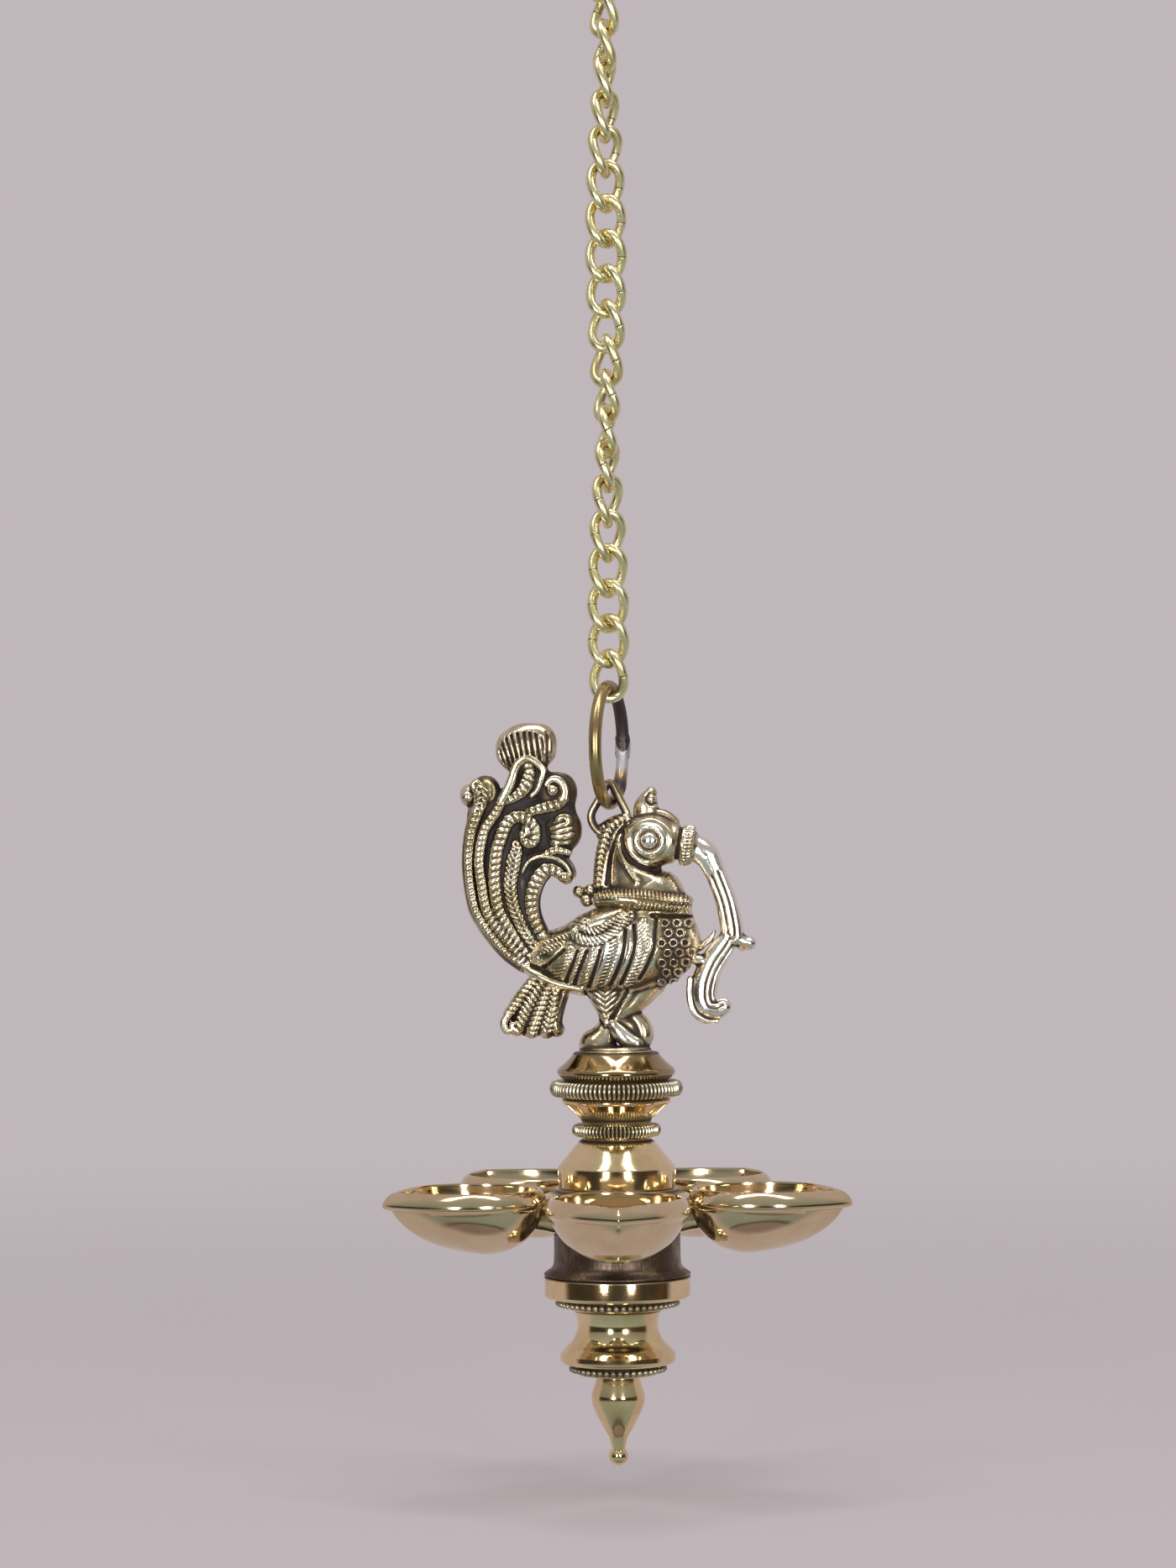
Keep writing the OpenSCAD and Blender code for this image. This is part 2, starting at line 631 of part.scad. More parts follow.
// Neck that joins a bowl to the hub
module bowl_neck() {
    hull() {
        translate([hub_r - 4, 0, -hub_height])
            linear_extrude(height = hub_height)
                square([2, bowl_neck_width], center = true);
        translate([bowl_mid_r - bowl_half + 5, 0, -hub_height])
            linear_extrude(height = hub_height)
                square([2, bowl_neck_width + 1], center = true);
    }
}

// One casting: hub, necks and bowls
module bowl_tray() {
    color(brass)
        in_lamp()
            difference() {
                union() {
                    translate([0, 0, -hub_height])
                        cylinder(r = hub_r, h = hub_height, $fn = 64);
                    for (i = [0:bowl_count - 1])
                        rotate([0, 0, -90 + i * 360 / bowl_count]) {
                            bowl_outside();
                            bowl_neck();
                        }
                }
                for (i = [0:bowl_count - 1])
                    rotate([0, 0, -90 + i * 360 / bowl_count])
                        bowl_inside();
                translate([0, 0, -hub_height - eps])
                    cylinder(d = bore_d, h = hub_height + 2 * eps, $fn = 48);
            }
}

// Bored turned piece from an outline in the lamp's frame
module turned(outline, low, high) {
    in_lamp()
        difference() {
            rotate_extrude($fn = 96)
                polygon(outline);
            translate([0, 0, low - eps])
                cylinder(d = bore_d, h = high - low + 2 * eps, $fn = 48);
        }
}

// Dark collar that flares to a sharp lip
module stem_collar() {
    low = flange_top;
    flare = flange_r - 0.5 - hub_r;
    color(dark_brass)
        turned(concat(
            [[0, collar_top], [hub_r, collar_top], [hub_r, low + collar_lip + flare]],
            arc(hub_r + flare, low + collar_lip + flare, flare, 180, 270, 8),
            [[flange_r, low + 0.5], [flange_r, low], [0, low]]),
            low, collar_top);
}

// Polished flange over a beaded row
module beaded_flange() {
    low = spool_top;
    bead = bead_row_height / 2;
    color(brass)
        turned(concat(
            [[0, flange_top], [flange_r, flange_top], [flange_r, flange_top - flange_height + 0.3],
             [flange_r - 0.3, flange_top - flange_height], [bead_row_r - 1, flange_top - flange_height]],
            arc(bead_row_r - bead, low + bead, bead, 70, -70, 8),
            [[bead_row_r - 1.8, low], [0, low]]),
            low, flange_top);
}

// Waisted spool with its own flange and beaded row
module waisted_spool() {
    low = finial_top;
    shelf = spool_top - waist_height;
    foot = shelf - spool_flange_height;
    bead = bead_row_height / 2;
    color(brass)
        turned(concat(
            [[0, spool_top]],
            smooth_line([[waist_r + 0.9, spool_top], [waist_r + 0.1, spool_top - 2.6],
                         [waist_r, spool_top - 5.2], [waist_r + 1.2, spool_top - 8.2],
                         [spool_r - 1.2, shelf + 0.9], [spool_r, shelf - 0.6]], 4),
            [[spool_r, foot + 1], [spool_r - 0.4, foot + 0.3], [spool_r - 1.2, foot],
             [spool_bead_r - 1, foot]],
            arc(spool_bead_r - bead, low + bead, bead, 70, -70, 8),
            [[spool_bead_r - 1.8, low], [0, low]]),
            low, spool_top);
}

// Finial that closes the rod's lower end
module finial() {
    top = finial_top;
    low = top - finial_length;
    bulb = top - finial_bulb_drop;
    color(brass)
        in_lamp()
            difference() {
                rotate_extrude($fn = 96)
                    polygon(concat(
                        [[0, top]],
                        smooth_line([[finial_neck_r, top], [finial_neck_r + 0.2, top - 1.2],
                                     [finial_r - 0.3, bulb + 1.8], [finial_r, bulb],
                                     [finial_r - 0.6, bulb - 2.8], [finial_r - 2.6, bulb - 7],
                                     [finial_ball_r, low + 3 * finial_ball_r],
                                     [finial_ball_r * 0.75, low + 2.1 * finial_ball_r]], 4),
                        arc(0, low + finial_ball_r, finial_ball_r, 48, -90, 8)));
                translate([0, 0, top - rod_in_finial - rod_end_gap])
                    cylinder(d = bore_d, h = rod_in_finial + rod_end_gap + eps, $fn = 48);
            }
}

// Threaded rod that ties the turned pieces together
module tie_rod() {
    color(old_brass)
        in_lamp()
            translate([0, 0, rod_bottom])
                cylinder(d = rod_d, h = rod_top - rod_bottom, $fn = 48);
}

ceiling_hook();
for (k = [1:link_count])
    chain_link(k);
suspension_ring();
ring_solder();
hanging_eye();
bird();
pedestal();
bowl_tray();
stem_collar();
beaded_flange();
waisted_spool();
finial();
tie_rod();
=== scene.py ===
"""Hanging oil lamp of cast and turned brass on a chain: the looks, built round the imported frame."""
import math

import bpy
import numpy as np
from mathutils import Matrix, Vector


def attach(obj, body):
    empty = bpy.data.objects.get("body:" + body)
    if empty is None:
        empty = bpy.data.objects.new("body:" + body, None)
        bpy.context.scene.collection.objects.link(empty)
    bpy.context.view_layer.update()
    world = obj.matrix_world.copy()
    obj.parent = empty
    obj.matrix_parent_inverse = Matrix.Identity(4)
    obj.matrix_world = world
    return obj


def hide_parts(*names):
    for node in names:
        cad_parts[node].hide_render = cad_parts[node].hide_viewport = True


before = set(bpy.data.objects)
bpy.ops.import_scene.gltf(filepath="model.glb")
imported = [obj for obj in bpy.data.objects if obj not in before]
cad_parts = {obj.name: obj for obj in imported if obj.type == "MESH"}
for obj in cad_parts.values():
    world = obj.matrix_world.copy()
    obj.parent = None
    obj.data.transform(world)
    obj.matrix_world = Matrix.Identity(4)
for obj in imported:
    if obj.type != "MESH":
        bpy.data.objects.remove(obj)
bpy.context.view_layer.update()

MM = 0.001
TAU = 2 * math.pi


# Shader nodes
def make(tree, kind, settings=None, inputs=None, out=0):
    """Adds a node: its settings first, then the values or links of its sockets."""
    added = tree.nodes.new(kind)
    for key, value in (settings or {}).items():
        if key == "stops":
            ramp = added.color_ramp.elements
            while len(ramp) < len(value):
                ramp.new(1)
            for stop, (place, colour) in zip(ramp, value):
                stop.position, stop.color = place, colour
        else:
            setattr(added, key, value)
    for key, value in (inputs or {}).items():
        if isinstance(value, Shade):
            tree.links.new(value.socket, added.inputs[key])
        else:
            added.inputs[key].default_value = value
    return Shade(tree, added.outputs[out]) if added.outputs else added


class Shade:
    """One output of a node; operators on values add Math nodes."""

    def __init__(self, tree, socket):
        self.tree, self.socket = tree, socket

    def math(self, operation, *values):
        """A Math node of these values."""
        return make(self.tree, "ShaderNodeMath", {"operation": operation}, dict(enumerate(values)))

    def __add__(self, other):
        return self.math("ADD", self, other)

    def __sub__(self, other):
        return self.math("SUBTRACT", self, other)

    def __rsub__(self, other):
        return self.math("SUBTRACT", other, self)

    def __mul__(self, other):
        return self.math("MULTIPLY", self, other)

    def __truediv__(self, other):
        return self.math("DIVIDE", self, other)

    __radd__ = __add__
    __rmul__ = __mul__

    def between(self, low, high, start=0.0, end=1.0):
        """Eases from start to end while the value goes from low to high."""
        return make(self.tree, "ShaderNodeMapRange", {"interpolation_type": "SMOOTHSTEP"},
                    {0: self, 1: low, 2: high, 3: start, 4: end})

    def mix(self, a, b):
        """Colour a where the value is 0, colour b where it is 1."""
        return make(self.tree, "ShaderNodeMix", {"data_type": "RGBA"}, {0: self, 6: a, 7: b}, 2)


class Finish:
    """A material: its own nodes, and shorthand for what metal finishes share."""

    def __init__(self, name, metallic=1.0):
        self.material = bpy.data.materials.new(name)
        self.material.use_nodes = True
        self.tree = self.material.node_tree
        self.shader = self.tree.nodes["Principled BSDF"]
        self.shader.inputs["Metallic"].default_value = metallic
        self.place = make(self.tree, "ShaderNodeTexCoord", out="Object")

    def noise(self, scale, detail=4.0, rough=0.55, stretch=(1, 1, 1)):
        """Noise whose features are 1000 / scale millimetres apart."""
        place = self.place
        if stretch != (1, 1, 1):
            place = make(self.tree, "ShaderNodeVectorMath", {"operation": "MULTIPLY"},
                         {0: place, 1: stretch})
        return make(self.tree, "ShaderNodeTexNoise", None,
                    {"Vector": place, "Scale": scale, "Detail": detail, "Roughness": rough})

    def mark(self, name):
        """A value that the mesh carries on its points."""
        return make(self.tree, "ShaderNodeAttribute", {"attribute_name": name}, out="Fac")

    def feed(self, **sockets):
        """Links values to the metal's own sockets."""
        for key, value in sockets.items():
            socket = self.shader.inputs[key.replace("_", " ")]
            if isinstance(value, Shade):
                self.tree.links.new(value.socket, socket)
            else:
                socket.default_value = value
        return self.material

    def bump(self, height, strength, depth_mm):
        """Fine relief that only bends the light."""
        return make(self.tree, "ShaderNodeBump", None,
                    {"Height": height, "Strength": strength, "Distance": depth_mm * MM})


def rgb(r, g, b):
    """An opaque colour."""
    return (r, g, b, 1.0)


BLACK_BRASS = rgb(0.035, 0.027, 0.028)
NEAR_BLACK = rgb(0.06, 0.043, 0.043)
TIN = rgb(0.50, 0.48, 0.48)


def chain_finish():
    """Bright drawn wire: fine rubbing, a little greenish tarnish, dark where its ends meet."""
    metal = Finish("chain_wire_brass")
    patches = metal.noise(210, 3).between(0.42, 0.66)
    fine = metal.noise(2600, 3, 0.6)
    tarnish = patches.mix(rgb(0.86, 0.77, 0.46), rgb(0.70, 0.60, 0.31))
    cut = metal.mark("cut")
    return metal.feed(
        Base_Color=cut.mix(tarnish, rgb(0.16, 0.12, 0.06)),
        Roughness=0.23 + patches * 0.10 + fine * 0.04,
        Normal=metal.bump(fine * 0.3 + metal.noise(260, 2), 0.22, 0.05))


def ring_finish():
    """Old bronze wire: olive with brown patches, near black in places, pale round the joint."""
    metal = Finish("ring_old_bronze")
    soot, pale = metal.mark("soot"), metal.mark("pale")
    patches = metal.noise(150, 4, 0.6)
    olive = patches.between(0.35, 0.7).mix(rgb(0.37, 0.30, 0.13), rgb(0.38, 0.24, 0.12))
    dark = (soot + patches * 0.5 - 0.25).between(0.1, 0.9)
    colour = pale.mix(dark.mix(olive, NEAR_BLACK), TIN)
    return metal.feed(
        Base_Color=colour,
        Roughness=0.24 + dark * 0.16 + pale * 0.15 + metal.noise(1200) * 0.1,
        Metallic=1 - dark * 0.3 - pale * 0.3,
        Normal=metal.bump(metal.noise(700, 5, 0.65), 0.3, 0.12))


def solder_finish():
    """Soft solder, whitish and lumpy with grey flux in its pits."""
    metal = Finish("soft_solder", 0.7)
    lumps = metal.noise(650, 5, 0.6)
    pits = lumps.between(0.34, 0.5, 1, 0)
    soot = metal.mark("soot")
    return metal.feed(
        Base_Color=soot.mix(pits.mix(TIN, rgb(0.25, 0.26, 0.24)), NEAR_BLACK),
        Roughness=0.42 + lumps * 0.25 - soot * 0.15,
        Normal=metal.bump(lumps, 0.7, 0.25))


def casting_finish():
    """Cast brass: rubbed bright on its heights, black in its hollows, brown on its flanks."""
    metal = Finish("cast_antique_brass")
    # the grime mark is patina in the hollows, and painted shade at the foot of the plinth, behind the front
    # foot and inside the hanging eye
    grime, shine = metal.mark("grime"), metal.mark("shine")
    cloud = metal.noise(170, 4, 0.6)
    grain = metal.noise(1500, 4, 0.65)
    high = cloud.between(0.36, 0.66).mix(rgb(0.76, 0.66, 0.49), rgb(0.48, 0.375, 0.22))
    high = shine.mix(high, rgb(0.93, 0.86, 0.77))
    flank = (grime + cloud * 0.4 - 0.2).between(0.15, 0.5)
    hollow = (grime + grain * 0.3 - 0.15).between(0.42, 0.85)
    colour = hollow.mix(flank.mix(high, rgb(0.16, 0.115, 0.06)), BLACK_BRASS)
    return metal.feed(
        Base_Color=colour,
        Roughness=0.18 + flank * 0.14 + hollow * 0.3 - shine * 0.04 + grain * 0.06,
        Metallic=1 - hollow * 0.5,
        Normal=metal.bump(grain + metal.noise(420, 3), 0.45, 0.10))


def turned_finish(name, colour, deep, rough, marks=0.5):
    """Turned and polished brass: fine tool rings, thin smears, dirt in its grooves, brown where tarnished."""
    metal = Finish(name)
    rings = metal.noise(5200, 2, 0.5, (0.02, 0.02, 1))
    smear = metal.noise(95, 5, 0.62)
    # the grime mark is dirt in the grooves, and painted shade round the bowl tray's hub
    grime = metal.mark("grime")
    darkening = (grime + smear * 0.5 - 0.25).between(0.2, 0.8)
    tone = metal.mark("tarnish").mix(smear.between(0.38, 0.72).mix(colour, deep), rgb(0.27, 0.18, 0.09))
    return metal.feed(
        Base_Color=darkening.mix(tone, rgb(0.09, 0.06, 0.03)),
        Roughness=rough + smear.between(0.45, 0.8) * 0.10 + darkening * 0.3,
        Metallic=1 - darkening * 0.3,
        Normal=metal.bump(rings * marks + metal.noise(60, 3) * 0.6, 0.16, 0.05))


def collar_finish():
    """Collar left dark as cast and turned: brown skin with bright scores."""
    metal = Finish("dark_collar_brass")
    skin = metal.noise(120, 5, 0.62)
    scores = metal.noise(3000, 3, 0.6, (1, 1, 0.08))
    bare = (skin + scores * 0.5).between(0.72, 0.98)
    return metal.feed(
        Base_Color=bare.mix(rgb(0.075, 0.048, 0.036), rgb(0.30, 0.22, 0.13)),
        Roughness=0.27 + skin * 0.2 - bare * 0.1,
        Metallic=0.75 + bare * 0.2,
        Normal=metal.bump(scores + skin, 0.4, 0.12))


def rod_finish():
    """Plain drawn rod."""
    metal = Finish("tie_rod_brass")
    drawn = metal.noise(2200, 3, 0.5, (1, 1, 0.04))
    return metal.feed(
        Base_Color=drawn.between(0.3, 0.7).mix(rgb(0.60, 0.46, 0.20), rgb(0.48, 0.36, 0.16)),
        Roughness=0.32 + drawn * 0.15, Normal=metal.bump(drawn, 0.3, 0.05))


# Mesh building
def grid_faces(rows, cols, round_rows, round_cols, start=0):
    """Quads between neighbouring points of a grid, joined end to start where round."""
    r, c = np.meshgrid(np.arange(rows if round_rows else rows - 1),
                       np.arange(cols if round_cols else cols - 1), indexing="ij")
    r, c = r.ravel(), c.ravel()
    r2, c2 = (r + 1) % rows, (c + 1) % cols
    return (np.stack([r * cols + c, r2 * cols + c, r2 * cols + c2, r * cols + c2], 1) + start).tolist()


def gather(parts):
    """Several (points, faces) as one."""
    points, faces, base = [], [], 0
    for some, joined in parts:
        points.append(np.asarray(some, float).reshape(-1, 3))
        faces += [[i + base for i in face] for face in joined]
        base += len(points[-1])
    return np.concatenate(points), faces


def piece(name, shape, finish, body, nodes, marks=None, crease=None):
    """A mesh in millimetres of the part's frame, riding on a body in place of its nodes."""
    points, faces = shape
    mesh = bpy.data.meshes.new(name)
    mesh.from_pydata((np.asarray(points) * MM).tolist(), [], faces)
    mesh.polygons.foreach_set("use_smooth", np.ones(len(mesh.polygons), bool))
    if crease:
        mesh.set_sharp_from_angle(angle=math.radians(crease))
    for key, values in (marks or {}).items():
        layer = mesh.attributes.new(key, "FLOAT", "POINT")
        layer.data.foreach_set("value", np.asarray(values, np.float32))
    mesh.materials.append(finish)
    made = bpy.data.objects.new(name, mesh)
    bpy.context.collection.objects.link(made)
    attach(made, body)
    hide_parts(*nodes)
    return made


def unit(v):
    """Vectors of length 1."""
    return v / np.linalg.norm(v, axis=-1, keepdims=True)


def share(value):
    """The value, held between 0 and 1."""
    return np.clip(value, 0, 1)


def fade(off, half):
    """1 where off is 0, falling away over about a half width."""
    return np.exp(-(off / half) ** 2)


def from_nearest(way, period):
    """How far a way along lies from the nearest of evenly spaced places."""
    return (way / period - np.round(way / period)) * period


def signed_power(v, power):
    """A power that keeps the sign."""
    return np.sign(v) * np.abs(v) ** power


def turned(points, angle):
    """Points turned about the upright axis."""
    c, s = math.cos(angle), math.sin(angle)
    x, y, z = np.asarray(points).T
    return np.stack([x * c - y * s, x * s + y * c, z], 1)


def tube(line, across, radius, sides, closed=False):
    """Round wire along a line; across is a vector out of the bend, one or one per point."""
    line = np.asarray(line, float)
    n = len(line)
    ahead = np.roll(line, -1, 0) - np.roll(line, 1, 0)
    if not closed:
        ahead[0], ahead[-1] = line[1] - line[0], line[-1] - line[-2]
    ahead = unit(ahead)
    out = unit(np.cross(np.broadcast_to(across, line.shape), ahead))
    side = np.cross(ahead, out)
    a = TAU * np.arange(sides) / sides
    radius = np.broadcast_to(np.asarray(radius, float), (n,))[:, None, None]
    points = line[:, None] + radius * (np.cos(a)[None, :, None] * out[:, None]
                                       + np.sin(a)[None, :, None] * side[:, None])
    faces = grid_faces(n, sides, closed, True)
    if not closed:
        faces += [list(range(sides - 1, -1, -1)), [(n - 1) * sides + j for j in range(sides)]]
    return points.reshape(-1, 3), faces


def rounded(corners, steps=4):
    """An outline with its corners eased; each corner is (radius, height, easing)."""
    line = []
    for i, corner in enumerate(corners):
        p = np.array(corner[:2], float)
        ease = corner[2] if len(corner) > 2 else 0
        if not ease or i in (0, len(corners) - 1):
            line.append(p)
            continue
        before, after = np.array(corners[i - 1][:2]) - p, np.array(corners[i + 1][:2]) - p
        a = p + before * min(0.48, ease / np.linalg.norm(before))
        b = p + after * min(0.48, ease / np.linalg.norm(after))
        for t in np.linspace(0, 1, steps + 1):
            line.append(a * (1 - t) ** 2 + 2 * p * t * (1 - t) + b * t ** 2)
    return np.array(line)


def lathe(outline, segments=192, swell=None):
    """A turned solid from an outline that starts and ends on the axis."""
    outline = np.asarray(outline, float)
    body = outline[1:-1]
    a = TAU * np.arange(segments) / segments
    r = np.repeat(body[:, :1], segments, 1)
    if swell is not None:
        r = r + swell(body, a)
    points = np.stack([r * np.cos(a), r * np.sin(a), np.repeat(body[:, 1:], segments, 1)], 2)
    n = len(body)
    faces = grid_faces(n, segments, False, True, 1)
    ends = 1 + (n - 1) * segments
    for j in range(segments):
        k = (j + 1) % segments
        faces += [[0, 1 + j, 1 + k], [ends + segments, ends + k, ends + j]]
    return np.concatenate([[[0, 0, outline[0, 1]]], points.reshape(-1, 3), [[0, 0, outline[-1, 1]]]]), faces


def ball(centre, radius, across=14, down=9):
    """A small round bead."""
    a = np.linspace(-math.pi / 2, math.pi / 2, down)
    points, faces = lathe(np.stack([np.cos(a), np.sin(a)], 1), across)
    return points * radius + centre, faces


def smooth_line(controls, steps):
    """A smooth line through control points of any width."""
    p = np.asarray(controls, float)
    out = []
    for i in range(len(p) - 1):
        p0, p1, p2, p3 = p[max(i - 1, 0)], p[i], p[i + 1], p[min(i + 2, len(p) - 1)]
        for t in np.arange(steps) / steps:
            out.append(0.5 * (2 * p1 + (p2 - p0) * t + (2 * p0 - 5 * p1 + 4 * p2 - p3) * t * t
                              + (3 * p1 - p0 - 3 * p2 + p3) * t ** 3))
    return np.array(out + [p[-1]])


def arc(x, z, radius, start, end, steps):
    """Points of an arc in the plane, between two angles in degrees."""
    a = np.radians(np.linspace(start, end, steps))
    return np.stack([x + radius * np.cos(a), z + radius * np.sin(a)], 1)


def neighbours_mean(points, edges):
    """Mean of each point's neighbours along the edges."""
    total, count = np.zeros_like(points), np.bincount(edges.ravel(), minlength=len(points))
    for axis in range(points.shape[1]):
        total[:, axis] = (np.bincount(edges[:, 0], points[edges[:, 1], axis], len(points))
                          + np.bincount(edges[:, 1], points[edges[:, 0], axis], len(points)))
    return total / np.maximum(count, 1)[:, None]


# Hook, chain and ring
HOOK_WIRE, HOOK_SIDES, HOOK_STEPS = 1.7, 24, 72
CROOK_Z, CROOK_R = -7.3, 9.0
HOOK_EYE_Z, HOOK_EYE_R = -21.8, 5.5
LINKS = 21
LINK_A, LINK_B, LINK_WIRE = 6.1, 4.3, 1.35
LINK_SIDES, LINK_STEPS = 20, 96
LINK_TWIST, OVAL = 72.0, 2 / 2.2
CUT_STEPS = (0.45, 0.9, 1.6, 2.4)
FIRST_LINK_Z, LINK_PITCH = -30.2, 9.35
FIRST_TURN, CHAIN_TURN = 133.0, -17.0
RING_Z, RING_R, RING_WIRE, RING_TURN = -235.75, 15.65, 1.7, 76.0
RING_SIDES, SOLDER_SIDES = 28, 30
SOLDER_START, SOLDER_END = -13, 11


def hook_wire():
    """A crook above and an eye below, from one wire with rounded ends."""
    crook = arc(0, CROOK_Z, CROOK_R, 10, 270, HOOK_STEPS)
    eye = arc(0, HOOK_EYE_Z, HOOK_EYE_R, 90, -210, HOOK_STEPS)
    line = np.concatenate([crook, eye[1:]])
    n = len(line)
    ends = np.minimum(np.arange(n), np.arange(n)[::-1])
    radius = HOOK_WIRE * np.sqrt(1 - share(1 - (ends + 0.6) / 4.5) ** 2)
    line = np.stack([line[:, 0], np.zeros(n), line[:, 1]], 1)
    return tube(line, (0, 1, 0), radius, HOOK_SIDES)


def link_wire(k):
    """One twisted link, with the fine cut where its wire's ends meet."""
    cut_at = 180.0 if k == LINKS else 0.0
    t = np.linspace(0, 360, LINK_STEPS + 1)[:-1]
    beside_cut = [(cut_at + side * step) % 360 for step in CUT_STEPS for side in (-1, 1)]
    t = np.sort(np.concatenate([t, beside_cut]))
    s, c = np.sin(np.radians(t)), np.cos(np.radians(t))
    turn = np.radians(-LINK_TWIST * signed_power(s, OVAL) / 2)
    x = LINK_B * signed_power(c, OVAL)
    line = np.stack([x * np.cos(turn), x * np.sin(turn), LINK_A * signed_power(s, OVAL)], 1)
    across = np.stack([-np.sin(turn), np.cos(turn), np.zeros_like(t)], 1)
    off = np.abs((t - cut_at + 180) % 360 - 180)
    cut = fade(off, 0.8)
    points, faces = tube(line, across, LINK_WIRE * (1 - 0.16 * cut), LINK_SIDES, True)
    points = turned(points, math.radians(FIRST_TURN + (k - 1) * CHAIN_TURN))
    points[:, 2] += FIRST_LINK_Z - (k - 1) * LINK_PITCH
    return (points, faces), np.repeat(cut, LINK_SIDES)


def on_ring(angle, reach):
    """Points of the ring's plane at an angle above its rear side."""
    along = np.array([math.cos(math.radians(RING_TURN)), math.sin(math.radians(RING_TURN)), 0])
    a = np.radians(angle)[:, None]
    return reach * (np.cos(a) * along + np.sin(a) * np.array([0, 0, 1.0])) + [0, 0, RING_Z]


def ring_across():
    """The way out of the ring's plane."""
    return np.cross([0, 0, 1.0], on_ring(np.array([0.0]), 1)[0] - [0, 0, RING_Z])


def ring_wire():
    """The ring, thicker below its joint, with its dark patches and its pale patch."""
    angle = np.linspace(-180, 180, 181)[:-1]
    radius = RING_WIRE * (1 + 0.012 * np.sin(np.radians(angle * 5))) + 0.26 * fade(angle + 46, 8)
    shape = tube(on_ring(angle, RING_R), ring_across(), radius, RING_SIDES, True)
    soot = share((105 - angle) / 40) * share(angle / 6) + 0.8 * fade(angle + 47, 12)
    pale = share((angle + 33) / 9) * share(-angle / 6)
    return shape, {"soot": np.repeat(soot, RING_SIDES), "pale": np.repeat(pale, RING_SIDES)}


def ring_solder():
    """Lumpy solder drawn round the ring's joint, darker over its upper part."""
    angle = np.linspace(SOLDER_START, SOLDER_END, 40)
    edge = share(np.minimum(angle - SOLDER_START, SOLDER_END - angle) / 5)
    swell = 0.02 + 0.36 * edge ** 0.6
    line = on_ring(angle, RING_R)
    points, faces = tube(line, ring_across(), RING_WIRE + swell, SOLDER_SIDES)
    out = unit(points - np.repeat(line, SOLDER_SIDES, 0))
    x, y, z = points.T
    lump = np.sin(z * 2.1 + x * 2.6) * np.sin(y * 1.9 + z * 0.8)
    notch = 4 - 12 * share((-out[:, 1] - 0.3) / 0.7)
    soot = share((np.repeat(angle, SOLDER_SIDES) - notch) / 1.5)
    rise = 0.08 * lump * np.repeat(edge, SOLDER_SIDES)
    return (points + out * rise[:, None], faces), {"soot": soot}


# Bird casting: a solid made of small cells, to which each form adds itself
LAMP_X, LAMP_Z = 1.3, -353.95
BIRD_FOOT, BIRD_TURN = -317.75, math.radians(-4)
EMPTY, THIN, FAR_OFF = -9.0, 0.05, 99.0
RIB_CURVE = 8
# rounds of easing after which a hollow's depth is read, and the grime that it holds
HOLLOW_STEPS = (8, 40)
GRIME_LEAST, GRIME_IN_HOLLOW = 0.33, 0.45
# how far a bar's crest is rounded over, as a share of its half width
FLAT, ROUND = 0.45, 0.8


def in_lamp(shape):
    """A shape of the lamp's frame, moved into the part's."""
    points, faces = shape
    return points + np.array([LAMP_X, 0, LAMP_Z]), faces


def in_bird(points):
    """Points of the bird's frame, moved into the part's."""
    return turned(points, BIRD_TURN) + [LAMP_X, 0, BIRD_FOOT]


def rungs(period, depth, half=0.28, slant=0.0, bow=0.0):
    """Cross notches along a rib, slanted or bowed."""
    def notch(s, u):
        return -depth * fade(from_nearest(s + slant * u + bow * np.abs(u), period), half)
    return notch


def braid(period, depth):
    """Two rows of small slanted strands with a line between them."""
    def strands(s, u):
        off = from_nearest(s + 0.9 * np.abs(u), period)
        return -depth * (fade(off, 0.25 * period) + 0.8 * fade(u, 0.3))
    return strands


def flutes(places, depth, half):
    """Grooves that run along a rib at given places across it."""
    def groove(s, u):
        return -depth * sum(fade(u - p, half) for p in places)
    return groove


def widths(line, half, deep):
    """Adds half widths and depths, given at even steps, to a line."""
    n = len(line)
    w = np.interp(np.linspace(0, 1, n), np.linspace(0, 1, len(half)), half)
    d = np.interp(np.linspace(0, 1, n), np.linspace(0, 1, len(deep)), deep)
    return np.column_stack([line, w, d])


